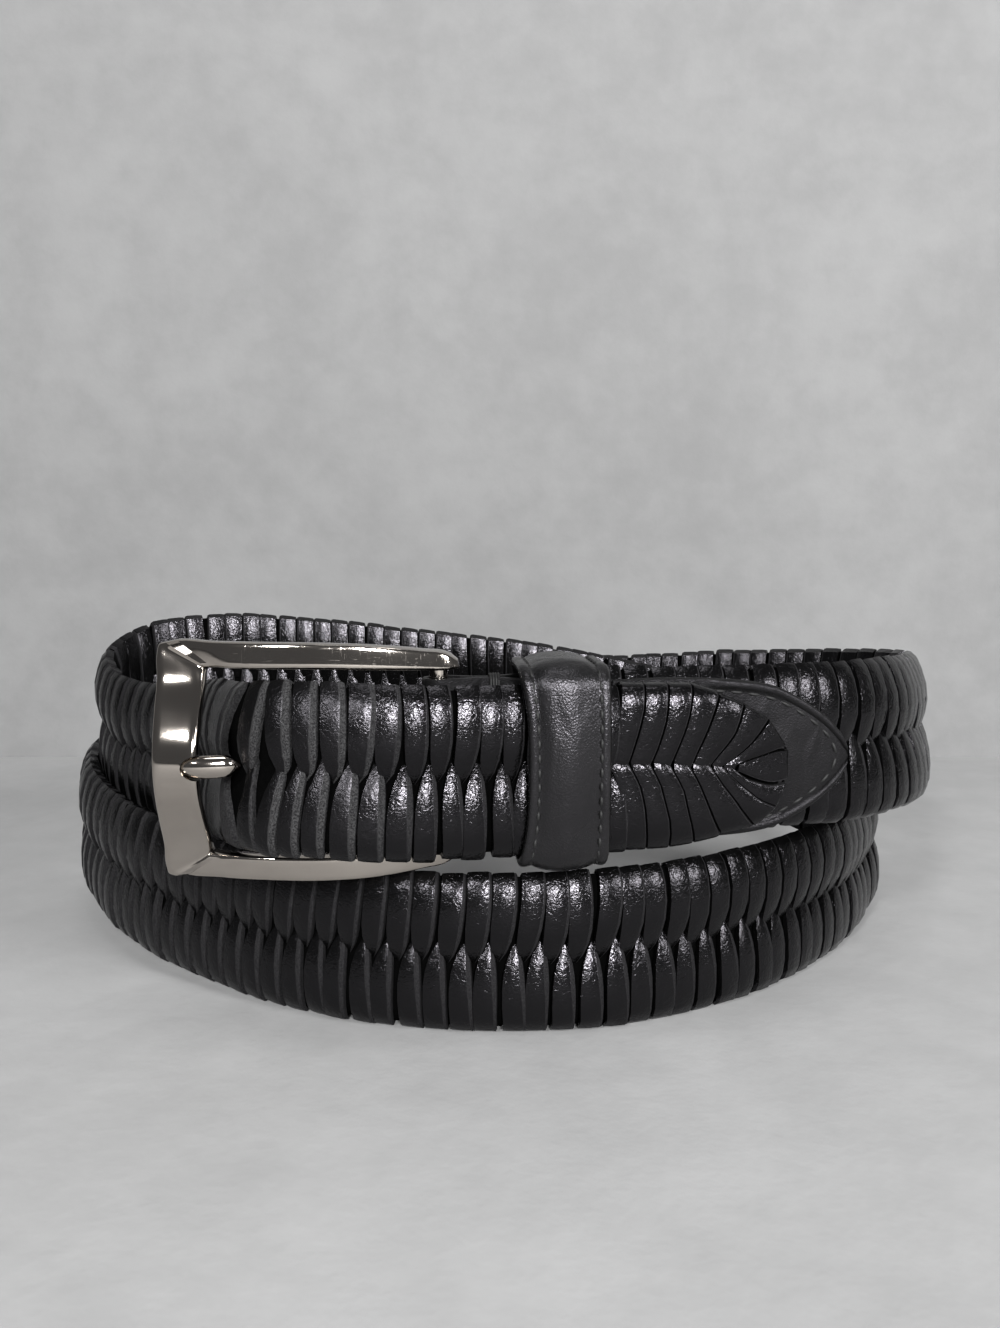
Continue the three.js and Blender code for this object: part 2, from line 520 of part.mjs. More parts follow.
// The tip tab lies behind the end of the braid; its border is turned over and stands proud.
function makeTip() {
  const start = new THREE.Vector3(
    KEEPER_AT.x + KEEPER_WIDTH / 2 + 2.1,
    KEEPER_AT.y - 0.4,
    PIVOT.z - 0.1,
  );
  const rings = TIP.map((row) => {
    const half = row.half * STRAP_WIDTH;
    const border = Math.min(1.6, 0.45 * half);
    const front = -TIP_LEATHER / 2;
    const proud = TIP_BORDER * row.border;
    const section = [
      { z: -half, y: -front },
      { z: -half, y: front + 0.1 - 0.6 * proud },
      { z: -half + 0.35 * border, y: front - proud },
      { z: -half + border, y: front - 0.8 * proud },
      { z: -half + 1.3 * border, y: front },
      { z: half - 1.3 * border, y: front },
      { z: half - border, y: front - 0.8 * proud },
      { z: half - 0.35 * border, y: front - proud },
      { z: half, y: front + 0.1 - 0.6 * proud },
      { z: half, y: -front },
    ];
    return section.map((s) => new THREE.Vector3(
      start.x + row.along * STRAP_WIDTH,
      start.y + row.back * STRAP_THICK + s.y,
      start.z + s.z,
    ));
  });
  return loft(rings);
}

const braid = new THREE.MeshStandardMaterial({ color: 0x1c1b1e, roughness: 0.45, metalness: 0 });
const leather = new THREE.MeshStandardMaterial({ color: 0x232225, roughness: 0.55, metalness: 0 });
const metal = new THREE.MeshStandardMaterial({ color: 0x9d9a94, roughness: 0.2, metalness: 1 });

const belt = new THREE.Group();
belt.add(named("braided_strap", makeStrap(), braid));
belt.add(named("buckle_frame", makeFrame(), metal));
belt.add(named("buckle_prong", makeProng(), metal));
belt.add(named("buckle_tab", makeTab(), leather));
belt.add(named("keeper_loop", makeKeeper(), leather));
belt.add(named("tip_tab", makeTip(), leather));

// The origin is the middle of the footprint.
const box = new THREE.Box3().setFromObject(belt);
belt.position.set(-(box.min.x + box.max.x) / 2, -(box.min.y + box.max.y) / 2, -box.min.z);

const part = new THREE.Group();
part.add(belt);

export default part;
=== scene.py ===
"""A black braided leather belt, fastened and coiled in two turns, standing on the edge of its lower turn.

Metres. +Z is up, the buckle faces -Y, and the origin is on the floor under the middle of the coil.
"""

import bpy
import math
import numpy as np
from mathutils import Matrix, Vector


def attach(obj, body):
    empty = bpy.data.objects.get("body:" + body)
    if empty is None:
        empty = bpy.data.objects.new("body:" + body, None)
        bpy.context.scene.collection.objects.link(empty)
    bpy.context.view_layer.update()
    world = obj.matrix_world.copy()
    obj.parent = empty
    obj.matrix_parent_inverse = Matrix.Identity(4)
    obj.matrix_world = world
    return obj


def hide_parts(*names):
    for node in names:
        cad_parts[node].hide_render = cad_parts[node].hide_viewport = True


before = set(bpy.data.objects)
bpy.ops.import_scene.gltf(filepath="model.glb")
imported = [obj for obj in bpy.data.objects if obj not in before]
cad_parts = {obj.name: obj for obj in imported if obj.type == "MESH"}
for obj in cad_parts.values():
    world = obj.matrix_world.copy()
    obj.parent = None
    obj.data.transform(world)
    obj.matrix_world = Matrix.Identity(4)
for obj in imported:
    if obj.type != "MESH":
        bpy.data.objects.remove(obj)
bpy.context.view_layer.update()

MM = 0.001

# The strap and the coil it makes.
STRAP_WIDTH = 35.0
STRAP_THICK = 6.4
COIL_WIDTH = 238.0
COIL_DEPTH = 142.0
MIDDLE = (-0.093, -0.159)

# The leather parts.
TAB_LEATHER = 1.3
KEEPER_WIDTH = 16.2
TIP_LEATHER = 1.4
TIP_BORDER = 0.5

# The buckle, measured from its pivot bar.
FRAME_LENGTH = 56.4
FRAME_OPENING = 38.4
FRAME_BOW = 8.4
PIVOT_RADIUS = 1.9
PRONG_WIDTH = 4.7
PRONG_THICK = 3.0
PIVOT = (-10.6 + MIDDLE[0], -56.8 + MIDDLE[1], 59.8)
PRONG_RISE = 0.4
KEEPER_AT = (14.8 + MIDDLE[0], -56.6 + MIDDLE[1], 59.7)
FRONT_TURN = math.radians(4.6)
TAB_TURN = math.radians(7.3)

# The plait: how far one strip is from the next, where the prong's hole is, and the height of the tail's middle.
PITCH = 5.45
HOLE_X = -49.0
TAIL_MIDDLE = 59.6
TAIL_FROM_X = -60.0

# The strap's route, one row per bend: x in coil widths, y in coil depths, z of the lower edge and lean of the
# upper edge in strap widths, then how tall and how thick the strap is there. LINE_POINTS is how finely it is read.
LINE_POINTS = 2600
ROUTE = [
    (0.0216, -0.3848, 1.208, 0.0, 0.93, 0.55),
    (0.0591, -0.3768, 1.22, 0.0, 1, 0.97),
    (0.1611, -0.3615, 1.233, 0.0, 1, 1),
    (0.2583, -0.3465, 1.234, -0.03, 1, 1),
    (0.3414, -0.298, 1.229, -0.097, 1, 1),
    (0.4064, -0.211, 1.21, -0.134, 1, 1),
    (0.4501, -0.0939, 1.165, -0.124, 1, 1),
    (0.4786, 0.035, 1.12, -0.06, 1, 1),
    (0.4863, 0.1564, 1.081, 0.021, 1, 1),
    (0.4386, 0.2699, 1.04, 0.052, 1, 1),
    (0.3342, 0.364, 0.982, 0.055, 1, 1),
    (0.1894, 0.4315, 0.91, 0.044, 1, 1),
    (0.0269, 0.4691, 0.83, 0.029, 1, 1),
    (-0.1326, 0.476, 0.743, 0.016, 1, 1),
    (-0.2731, 0.453, 0.647, 0.008, 1, 1),
    (-0.3834, 0.4016, 0.541, 0.004, 1, 1),
    (-0.456, 0.3238, 0.432, 0.005, 1, 1),
    (-0.4867, 0.2227, 0.329, 0.009, 1, 1),
    (-0.4741, 0.1043, 0.24, 0.005, 1, 1),
    (-0.4282, -0.0254, 0.154, -0.006, 1, 1),
    (-0.359, -0.1482, 0.085, -0.013, 1, 1),
    (-0.2722, -0.2496, 0.033, -0.025, 1, 1),
    (-0.181, -0.3306, 0.0, -0.025, 1, 1),
    (-0.0874, -0.381, 0.0, -0.003, 1, 1),
    (0.0098, -0.399, 0.0, 0.002, 1, 1),
    (0.1088, -0.3817, 0.0, -0.014, 1, 1),
    (0.2067, -0.3193, 0.0, -0.03, 1, 1),
    (0.2945, -0.2162, 0.0, -0.01, 1, 1),
    (0.365, -0.0948, 0.0, 0.02, 1, 1),
    (0.4158, 0.0282, 0.0, 0.0, 1, 1),
    (0.4496, 0.1272, 0.107, -0.04, 1, 1),
    (0.4289, 0.2157, 0.312, -0.07, 1, 1),
    (0.352, 0.2924, 0.57, -0.075, 1, 1),
    (0.2298, 0.3501, 0.822, -0.055, 1, 1),
    (0.0768, 0.3815, 1.021, -0.031, 1, 1),
    (-0.0884, 0.3846, 1.159, -0.015, 1, 1),
    (-0.2417, 0.3629, 1.275, 0.004, 1, 1),
    (-0.363, 0.3161, 1.32, 0.019, 1, 1),
    (-0.4356, 0.2468, 1.248, 0.022, 1, 1),
    (-0.4568, 0.1607, 1.096, 0.024, 1, 1),
    (-0.4298, 0.0657, 0.969, 0.018, 1, 1),
    (-0.3731, -0.0403, 0.938, -0.003, 1, 1),
    (-0.3072, -0.1598, 1.017, -0.032, 1, 1),
    (-0.2584, -0.3063, 1.12, -0.062, 1, 1),
    (-0.2307, -0.3915, 1.168, -0.074, 0.985, 1),
    (-0.2139, -0.443, 1.2, -0.078, 0.97, 1),
    (-0.1899, -0.4683, 1.21, -0.076, 0.975, 1),
    (-0.1513, -0.4817, 1.211, -0.07, 0.99, 1),
    (-0.0784, -0.4742, 1.182, -0.027, 1, 1),
    (0.0081, -0.4465, 1.171, 0.0, 0.995, 1),
    (0.1008, -0.4355, 1.17, 0.0, 0.975, 1),
    (0.1471, -0.4308, 1.174, 0.0, 0.93, 0.98),
    (0.1849, -0.425, 1.182, 0.0, 0.865, 0.92),
    (0.216, -0.4183, 1.19, 0.0, 0.72, 0.85),
    (0.2374, -0.4144, 1.196, 0.0, 0.54, 0.8),
    (0.2529, -0.4113, 1.2, 0.0, 0.24, 0.75),
]

# An upper strip from its lower point up the front, over the edge and down the back:
# height and depth on the strap's section, then the strip's left and right edge along the strap and how far it
# rises, in millimetres, and how much more of its cut side shows.
UPPER_STRIP = [
    (14.4, 1.0, 0.75, 1.25, -0.7, 0.05),
    (15.8, 1.2, 0.4, 2.1, -0.15, 0.06),
    (17.6, 1.7, 0.0, 3.2, 0.1, 0.07),
    (20.4, 2.6, -0.45, 4.3, 0.1, 0.08),
    (23.5, 3.3, -0.35, 4.95, 0.0, 0.06),
    (27.5, 3.15, 0.0, 5.4, 0.0, 0.03),
    (31.2, 2.2, 0.15, 5.6, 0.0, 0),
    (33.7, 1.15, 0.1, 5.5, 0.0, 0),
    (34.95, -0.1, 0.0, 5.4, 0.0, 0),
    (34.2, -1.8, 0.0, 5.4, 0.0, 0),
    (30.0, -3.0, 0.0, 5.4, 0.0, 0),
    (22.0, -2.9, -0.2, 5.1, 0.0, 0),
    (15.0, -2.1, 1.0, 3.6, -0.5, 0),
]
# A lower strip from the point where it comes out between two upper ones, down the front and up the back.
LOWER_STRIP = [
    (20.2, 1.1, 4.7, 5.2, -0.6, 0.6),
    (18.4, 1.2, 3.8, 5.9, 0.05, 0.5),
    (16.4, 1.8, 2.9, 6.5, 0.2, 0.36),
    (13.9, 2.6, 2.2, 6.85, 0.15, 0.24),
    (10.8, 3.2, 1.85, 7.05, 0.1, 0.14),
    (7.0, 3.4, 1.8, 7.1, 0.0, 0.06),
    (3.6, 3.0, 1.95, 7.1, 0.0, 0.03),
    (1.3, 2.0, 2.0, 7.15, 0.0, 0),
    (0.05, 0.5, 2.0, 7.15, 0.0, 0),
    (0.8, -1.6, 2.0, 7.15, 0.0, 0),
    (5.0, -3.0, 2.0, 7.15, 0.0, 0),
    (13.0, -2.9, 2.2, 6.9, 0.0, 0),
    (20.0, -2.1, 3.3, 5.9, -0.5, 0),
]
# Across a strip: the left edge is tucked under its neighbour, the right edge stands proud and shows its cut side.
STRIP_PROFILE = [
    (0.0, -1.0),
    (0.05, 0.06),
    (0.3, 0.24),
    (0.84, 0.32),
    (0.96, 0.08),
    (1.0, -1.0),
]
ACROSS, LIFT = np.array(STRIP_PROFILE).T
# The strap under the strips: height and depth, in millimetres.
CORE = [
    (0.9, 0.0), (2.2, 1.2), (5.0, 2.1), (9.0, 2.2), (13.5, 1.4), (17.5, 0.2), (21.5, 1.2), (26.0, 2.1),
    (30.0, 1.4), (32.8, 0.4), (34.1, -0.4),
]

# The strips beside the hole the prong goes through: left and right edge from the valley outwards, as places along
# from the hole and up from the strap's lower edge, in millimetres.
HOLE_UPPER = [
    ([(-26.0, 17.0), (-24.6, 19.5), (-21.3, 27.6), (-21.2, 31.5), (-21.5, 33.6)],
     [(-13.6, 18.4), (-12.2, 21.0), (-9.3, 26.8), (-8.0, 31.5), (-7.2, 33.6)]),
    ([(-14.4, 18.0), (-13.0, 20.6), (-10.2, 26.4), (-8.8, 31.0), (-8.0, 33.6)],
     [(-10.2, 18.6), (-8.4, 21.2), (-5.2, 24.9), (-3.2, 29.8), (-1.9, 33.6)]),
]
HOLE_LOWER = [
    ([(-26.0, 16.0), (-24.0, 12.7), (-20.0, 7.5), (-19.2, 4.0), (-19.0, 1.4)],
     [(-7.4, 16.4), (-5.8, 14.3), (-2.6, 10.5), (-1.4, 6.7), (-0.6, 1.4)]),
    ([(2.0, 21.6), (0.7, 17.0), (1.1, 13.3), (0.0, 8.4), (-0.4, 1.4)],
     [(2.6, 21.9), (3.2, 18.6), (3.3, 14.5), (3.8, 9.6), (4.3, 1.4)]),
]
# Where the tail's strips start, in millimetres from the hole.
TAIL_AFTER = [15.9, 21.3, 27.0, 32.6, 37.6, 42.4, 47.8, 52.8, 57.5, 62.2, 66.9, 71.5]
TAIL_UPPER = [-0.4, 5.2, 10.6] + TAIL_AFTER
TAIL_LOWER = [2.4, 6.8, 11.2] + TAIL_AFTER

# The gaps between the strips of the tail's end, from the valley outwards: x and z in millimetres. The first few
# strips go round the tail's edge; the others are cut off on the tip tab.
FAN_WRAPPED = 4
FAN_UPPER = [
    [(23.97, 60.26), (24.71, 64.31), (25.44, 69.35), (25.79, 72.35), (25.94, 75.36)],
    [(27.59, 60.2), (28.54, 63.23), (29.68, 67.27), (30.78, 72.29), (30.73, 75.3)],
    [(32.22, 60.3), (33.38, 63.16), (34.88, 68.21), (35.4, 72.23), (35.53, 75.24)],
    [(36.27, 60.1), (38.21, 65.09), (39.53, 69.12), (40.24, 73.15), (40.39, 75.16)],
    [(40.58, 59.92), (41.35, 61.95), (43.09, 65.99), (44.62, 70.02), (45.76, 73.6)],
    [(44.3, 59.61), (45.7, 61.41), (47.72, 63.8), (49.72, 66.8), (50.9, 71.5)],
    [(46.6, 59.32), (48.25, 60.28), (50.71, 62.04), (53.35, 64.63), (56.0, 68.5)],
    [(49.53, 59.4), (51.81, 60.3), (53.48, 60.9), (56.61, 61.9), (59.8, 62.9)],
]
FAN_LOWER = [
    [(23.78, 59.65), (25.24, 56.15), (25.89, 53.06), (26.8, 46.85), (27.07, 42.6)],
    [(28.0, 59.58), (29.88, 56.07), (30.97, 51.93), (31.48, 46.75), (31.75, 42.7)],
    [(32.23, 59.7), (34.13, 55.99), (35.24, 51.84), (36.36, 47.66), (36.46, 43.0)],
    [(36.3, 59.42), (38.86, 54.83), (39.79, 50.66), (40.93, 46.46), (41.4, 43.9)],
    [(40.19, 59.32), (42.13, 55.77), (43.9, 51.57), (45.7, 47.32), (46.9, 45.2)],
    [(44.52, 59.19), (46.93, 55.58), (49.55, 52.35), (51.33, 49.76), (53.9, 46.6)],
    [(47.25, 58.67), (50.72, 55.42), (53.98, 52.79), (55.71, 51.67), (58.2, 50.6)],
    [(49.35, 58.58), (52.16, 56.4), (55.79, 55.22), (57.93, 55.13), (60.0, 55.5)],
]

# The buckle frame from the middle of its front bar to the end of its upper arm: its inner edge along and up, its
# outer edge along and up, how far back its face bows, and how deep it is in pivot radii. Along is in frame lengths
# from the pivot, up in half openings.
FRAME = [
    (0.832, 0.0, 0.992, 0.0, 0.0, 1.6),
    (0.832, 0.26, 0.993, 0.27, 0.1, 1.6),
    (0.832, 0.56, 0.998, 0.58, 0.42, 1.65),
    (0.832, 0.82, 1.003, 0.9, 0.8, 1.75),
    (0.832, 0.96, 1.007, 1.16, 0.95, 1.9),
    (0.83, 0.995, 1.0, 1.255, 1.0, 2.0),
    (0.815, 1.0, 0.975, 1.277, 0.98, 2.05),
    (0.72, 1.0, 0.8, 1.283, 0.79, 2.15),
    (0.58, 1.0, 0.6, 1.28, 0.67, 2.25),
    (0.42, 1.0, 0.42, 1.275, 0.63, 2.35),
    (0.22, 0.985, 0.22, 1.245, 0.75, 2.7),
    (0.06, 0.97, 0.06, 1.19, 0.98, 3.4),
    (-0.04, 0.965, -0.035, 1.14, 1.2, 3.2),
    (-0.075, 0.98, -0.068, 1.07, 1.36, 1.9),
]
# Its section, from the inner edge to the outer one and back along its rear.
FRAME_SECTION = [
    (0, 0.75), (0, 0.25), (0.04, 0.08), (0.1, 0.02), (0.2, 0.0), (0.5, 0.045), (0.87, 0.105), (0.95, 0.17),
    (0.99, 0.29), (1, 0.5), (1, 0.8), (0.86, 1), (0.1, 1),
]
FRONT_BAR = 0.832
FRONT_FACE = 1.4
NOTCH_ROOM = 0.3
NOTCH_STRETCH = 1.6

# The prong from the pivot to its end in the notch: how far along, how wide, how thick and how far it rises.
PRONG = [
    (0.02, 0.8, 1.0, 0), (0.1, 1, 1, 0), (0.45, 1, 1, 0.3), (0.6, 0.85, 0.9, 0.95), (0.7, 0.55, 0.7, 1.25),
    (0.745, 0.25, 0.35, 1.15), (0.768, 0.08, 0.12, 0.5), (0.778, 0.1, 0.12, 0.1), (0.79, 0.38, 0.42, 0.04),
    (0.803, 0.66, 0.7, 0.0), (0.82, 0.9, 0.92, 0), (0.84, 1, 1, 0), (0.9, 1, 1, 0), (0.935, 0.97, 0.94, 0.02),
    (0.965, 0.86, 0.8, 0.05), (0.985, 0.66, 0.6, 0.08), (0.997, 0.4, 0.38, 0.1), (1.0, 0.12, 0.12, 0.1),
]
HOOK_REACH = PIVOT_RADIUS + 1.1
HOOK_RADIUS = 0.75

# The tab's section across its thickness and height, how far it sits above the pivot's middle, and its thread's
# path over the upper edge.
TAB_SECTION = [
    (-1, -0.5), (-1, -0.17), (-1, 0.17), (-1, 0.49), (-0.6, 0.5), (0.6, 0.5), (1, 0.49), (1, 0.17), (1, -0.17),
    (1, -0.5),
]
TAB_RISE = 0.3
TAB_THREAD = [(-1.75, -2.4), (-1.75, -0.6), (-1.2, 0.25), (0.0, 0.5), (1.2, 0.25), (1.75, -0.6), (1.75, -2.4)]

# The keeper: half its inside height and depth, its corners, how far its ends flare and its front bows, and its
# section across, in half widths, and out.
KEEPER_HIGH = 0.548 * STRAP_WIDTH
KEEPER_DEEP = STRAP_THICK + 3.1
KEEPER_CORNER = 3.2
KEEPER_FLARE = 0.9
KEEPER_BOW = 1.8
KEEPER_SECTION = [
    (-1, 0), (-1, 0.75), (-0.975, 1.2), (-0.93, 1.45), (-0.86, 1.5), (-0.79, 1.42), (-0.745, 1.12), (-0.7, 1.2),
    (-0.64, 1.5), (-0.54, 1.86), (-0.4, 2.2), (-0.2, 2.48), (0, 2.58), (0.2, 2.48), (0.4, 2.2), (0.54, 1.86),
    (0.64, 1.5), (0.7, 1.2), (0.745, 1.12), (0.79, 1.42), (0.86, 1.5), (0.93, 1.45), (0.975, 1.2), (1, 0.75),
    (1, 0), (0.5, 0), (-0.5, 0),
]

# The tip tab's outline: along from its square end and half height in strap widths, how far back in strap
# thicknesses, and how proud its turned border stands.
TIP = [
    (0, 0.47, 0, 0),
    (0.3, 0.483, 0.06, 0),
    (0.58, 0.478, 0.15, 0.3),
    (0.76, 0.465, 0.22, 1),
    (0.88, 0.449, 0.27, 1),
    (0.99, 0.42, 0.31, 1),
    (1.08, 0.378, 0.36, 1),
    (1.18, 0.32, 0.42, 1),
    (1.27, 0.256, 0.48, 1),
    (1.34, 0.19, 0.53, 1),
    (1.39, 0.13, 0.57, 1),
    (1.425, 0.06, 0.6, 0.8),
    (1.432, 0.012, 0.61, 0.5),
]
TIP_START = (KEEPER_AT[0] + KEEPER_WIDTH / 2 + 2.1, KEEPER_AT[1] - 0.4, PIVOT[2] - 0.1)

# The leathers: the tint of their shine, how strong it is on each, and how dull the strips that aren't on the
# strap's run are.
LEATHER_SHEEN = (0.96, 0.925, 1.0, 1.0)
BRAID_GLOSS = 1.41
KEEPER_GLOSS = 1.5
TAB_GLOSS = 1.33
HOLE_WORN = 0.6
FAN_WORN = 0.15

# The picture: where the wall is, and each light's name, place, aim, size and power.
WALL_Y = 0.207
LIGHTS = [
    ("light_front", (0.24, -1.25, 0.56), (0, 0, 0.06), (0.28, 0.3), 23.5),
    ("light_left", (-0.5, -1.15, 0.8), (0, 0, 0.05), (0.18, 0.18), 9),
    ("light_right", (1.1, -0.8, 0.62), (0.05, 0, 0.06), (0.4, 0.4), 12),
    ("light_high", (0.05, -0.3, 1.35), (0, 0.05, 0), (0.6, 0.35), 3),
]
ROOM_LIGHT = (0.143, 0.144, 0.149, 1)
CAMERA_AT = (0.001862, -0.259935, 0.1062)
CAMERA_TURN = (math.radians(82.5), 0, 0)
CAMERA_LENS = 27.108


# ---------------------------------------------------------------- routes and meshes

def smooth_rows(rows, at, knots):
    """Cubic pieces through the rows of a table, read at the places `at` between the knots."""
    rows = np.array(rows, float)
    step = np.diff(knots)
    rate = np.diff(rows, axis=0) / step[:, None]
    slope = np.empty_like(rows)
    slope[0] = rate[0]
    slope[-1] = rate[-1]
    slope[1:-1] = (rate[:-1] * step[1:, None] + rate[1:] * step[:-1, None]) / (step[:-1] + step[1:])[:, None]
    i = np.clip(np.searchsorted(knots, at, side="right") - 1, 0, len(step) - 1)
    h = step[i][:, None]
    t = (at - knots[i])[:, None] / h
    start = (2 * t**3 - 3 * t**2 + 1) * rows[i] + (t**3 - 2 * t**2 + t) * h * slope[i]
    end = (3 * t**2 - 2 * t**3) * rows[i + 1] + (t**3 - t**2) * h * slope[i + 1]
    return start + end


def steps_between(knots, count):
    """The knots with equal steps between them, as many as count."""
    parts = [np.linspace(a, b, count + 1)[:-1] for a, b in zip(knots[:-1], knots[1:])]
    return np.concatenate(parts + [knots[-1:]])


class Strap:
    """The strap's middle line, with the way it runs and the way it leans."""

    def __init__(self):
        rows = np.array(ROUTE)
        points = rows[:, :3] * (COIL_WIDTH, COIL_DEPTH, STRAP_WIDTH)
        knots = np.concatenate([[0], np.cumsum(np.linalg.norm(np.diff(points, axis=0), axis=1))])
        read = smooth_rows(rows, np.linspace(0, knots[-1], LINE_POINTS), knots)
        self.line = read[:, :3] * (COIL_WIDTH, COIL_DEPTH, STRAP_WIDTH)
        self.line[:, 2] = np.maximum(self.line[:, 2], 0)
        self.line[:, 0] += MIDDLE[0]
        self.line[:, 1] += MIDDLE[1]
        way = np.gradient(self.line[:, :2], axis=0)
        way /= np.linalg.norm(way, axis=1)[:, None]
        self.outward = np.stack([way[:, 1], -way[:, 0]], axis=1)
        self.lean = read[:, 3]
        self.tall = read[:, 4]
        self.thick = read[:, 5]
        steps = np.linalg.norm(np.diff(self.line, axis=0), axis=1)
        self.along = np.concatenate([[0], np.cumsum(steps)])

    def read(self, values, along):
        return np.interp(along, self.along, values)

    def place(self, along, height, depth):
        """Where a point of the strap lies: along it, up from its lower edge and out from its middle."""
        share = 0.5 + (height / STRAP_WIDTH - 0.5) * self.read(self.tall, along)
        off = depth * self.read(self.thick, along) + self.read(self.lean, along) * STRAP_WIDTH * share
        x = self.read(self.line[:, 0], along) + self.read(self.outward[:, 0], along) * off
        y = self.read(self.line[:, 1], along) + self.read(self.outward[:, 1], along) * off
        z = self.read(self.line[:, 2], along) + share * STRAP_WIDTH
        return np.stack([x, y, z], axis=-1)

    def along_at(self, x):
        """How far along the tail comes to x."""
        last = int(len(self.along) * 0.9)
        return float(np.interp(x, self.line[last:, 0], self.along[last:]))


def deselect():
    if bpy.context.object and bpy.context.object.mode != "OBJECT":
        bpy.ops.object.mode_set(mode="OBJECT")
    bpy.ops.object.select_all(action="DESELECT")


def active():
    return bpy.context.view_layer.objects.active


def pick(piece):
    deselect()
    piece.select_set(True)
    bpy.context.view_layer.objects.active = piece


def put(piece, points):
    """Moves a mesh's vertices to points given in millimetres."""
    piece.data.vertices.foreach_set("co", (np.asarray(points, float) * MM).ravel())
    piece.data.update()


def places(piece):
    co = np.empty(len(piece.data.vertices) * 3)
    piece.data.vertices.foreach_get("co", co)
    return co.reshape(-1, 3) / MM


def settle(piece, angle=35, outward=True):
    """Sets a finished mesh at the origin with its normals outward and its curved faces smooth."""
    pick(piece)
    bpy.ops.object.transform_apply(location=True, rotation=True, scale=True)
    if outward:
        bpy.ops.object.mode_set(mode="EDIT")
        bpy.ops.mesh.select_all(action="SELECT")
        bpy.ops.mesh.normals_make_consistent(inside=False)
        bpy.ops.object.mode_set(mode="OBJECT")
    bpy.ops.object.shade_smooth_by_angle(angle=math.radians(angle))
    deselect()
    return piece


def apply_all(piece):
    pick(piece)
    for modifier in list(piece.modifiers):
        bpy.ops.object.modifier_apply(modifier=modifier.name)


def sheet_of(name, rows):
    """A grid bent through rows of points, in millimetres."""
    rows = np.asarray(rows, float)
    down, across = rows.shape[:2]
    deselect()
    bpy.ops.mesh.primitive_grid_add(x_subdivisions=down - 1, y_subdivisions=across - 1, size=2)
    piece = active()
    piece.name = name
    flat = places(piece) * MM
    i = np.rint((flat[:, 0] + 1) / 2 * (down - 1)).astype(int)
    j = np.rint((flat[:, 1] + 1) / 2 * (across - 1)).astype(int)
    put(piece, rows[i, j])
    return piece


def turn_over(piece):
    """Makes a sheet face the other way."""
    pick(piece)
    bpy.ops.object.mode_set(mode="EDIT")
    bpy.ops.mesh.select_all(action="SELECT")
    bpy.ops.mesh.flip_normals()
    bpy.ops.object.mode_set(mode="OBJECT")


def tube_of(name, rings, closed=False):
    """A closed body through rings of points: a bent grid, joined at its seam and filled at its ends."""
    rings = np.asarray(rings, float)
    rings = np.concatenate([rings, rings[:, :1]], axis=1)
    if closed:
        rings = np.concatenate([rings, rings[:1]], axis=0)
    piece = sheet_of(name, rings)
    pick(piece)
    bpy.ops.object.mode_set(mode="EDIT")
    bpy.ops.mesh.select_all(action="SELECT")
    bpy.ops.mesh.remove_doubles(threshold=1e-6)
    if not closed:
        bpy.ops.mesh.select_all(action="DESELECT")
        bpy.ops.mesh.select_non_manifold()
        bpy.ops.mesh.fill_holes(sides=0)
    bpy.ops.object.mode_set(mode="OBJECT")
    return piece


def tag(piece, name, values):
    """Writes a number on each point of a mesh, for its material to read."""
    layer = piece.data.attributes.new(name, "FLOAT", "POINT")
    layer.data.foreach_set("value", np.asarray(values, np.float32))


def join(name, parts):
    deselect()
    for part in parts:
        part.select_set(True)
    bpy.context.view_layer.objects.active = parts[0]
    bpy.ops.object.join()
    piece = active()
    piece.name = name
    piece.data.name = name
    deselect()
    return piece


# ---------------------------------------------------------------- materials

class Amount:
    """A number inside a material; + - * between amounts and numbers make its Math nodes."""

    def __init__(self, shader, socket):
        self.shader = shader
        self.socket = socket

    def math(self, operation, *values):
        node = self.shader.tree.nodes.new("ShaderNodeMath")
        node.operation = operation
        for slot, value in zip(node.inputs, values):
            self.shader.feed(slot, value)
        return Amount(self.shader, node.outputs[0])

    def __add__(self, other):
        return self.math("ADD", self, other)

    __radd__ = __add__

    def __sub__(self, other):
        return self.math("SUBTRACT", self, other)

    def __rsub__(self, other):
        return self.math("SUBTRACT", other, self)

    def __mul__(self, other):
        return self.math("MULTIPLY", self, other)

    __rmul__ = __mul__

    def between(self, low, high):
        """0 below low, 1 above high, smooth between."""
        node = self.shader.tree.nodes.new("ShaderNodeMapRange")
        node.interpolation_type = "SMOOTHSTEP"
        for slot, value in zip(node.inputs, (self, low, high, 0.0, 1.0)):
            self.shader.feed(slot, value)
        return Amount(self.shader, node.outputs[0])


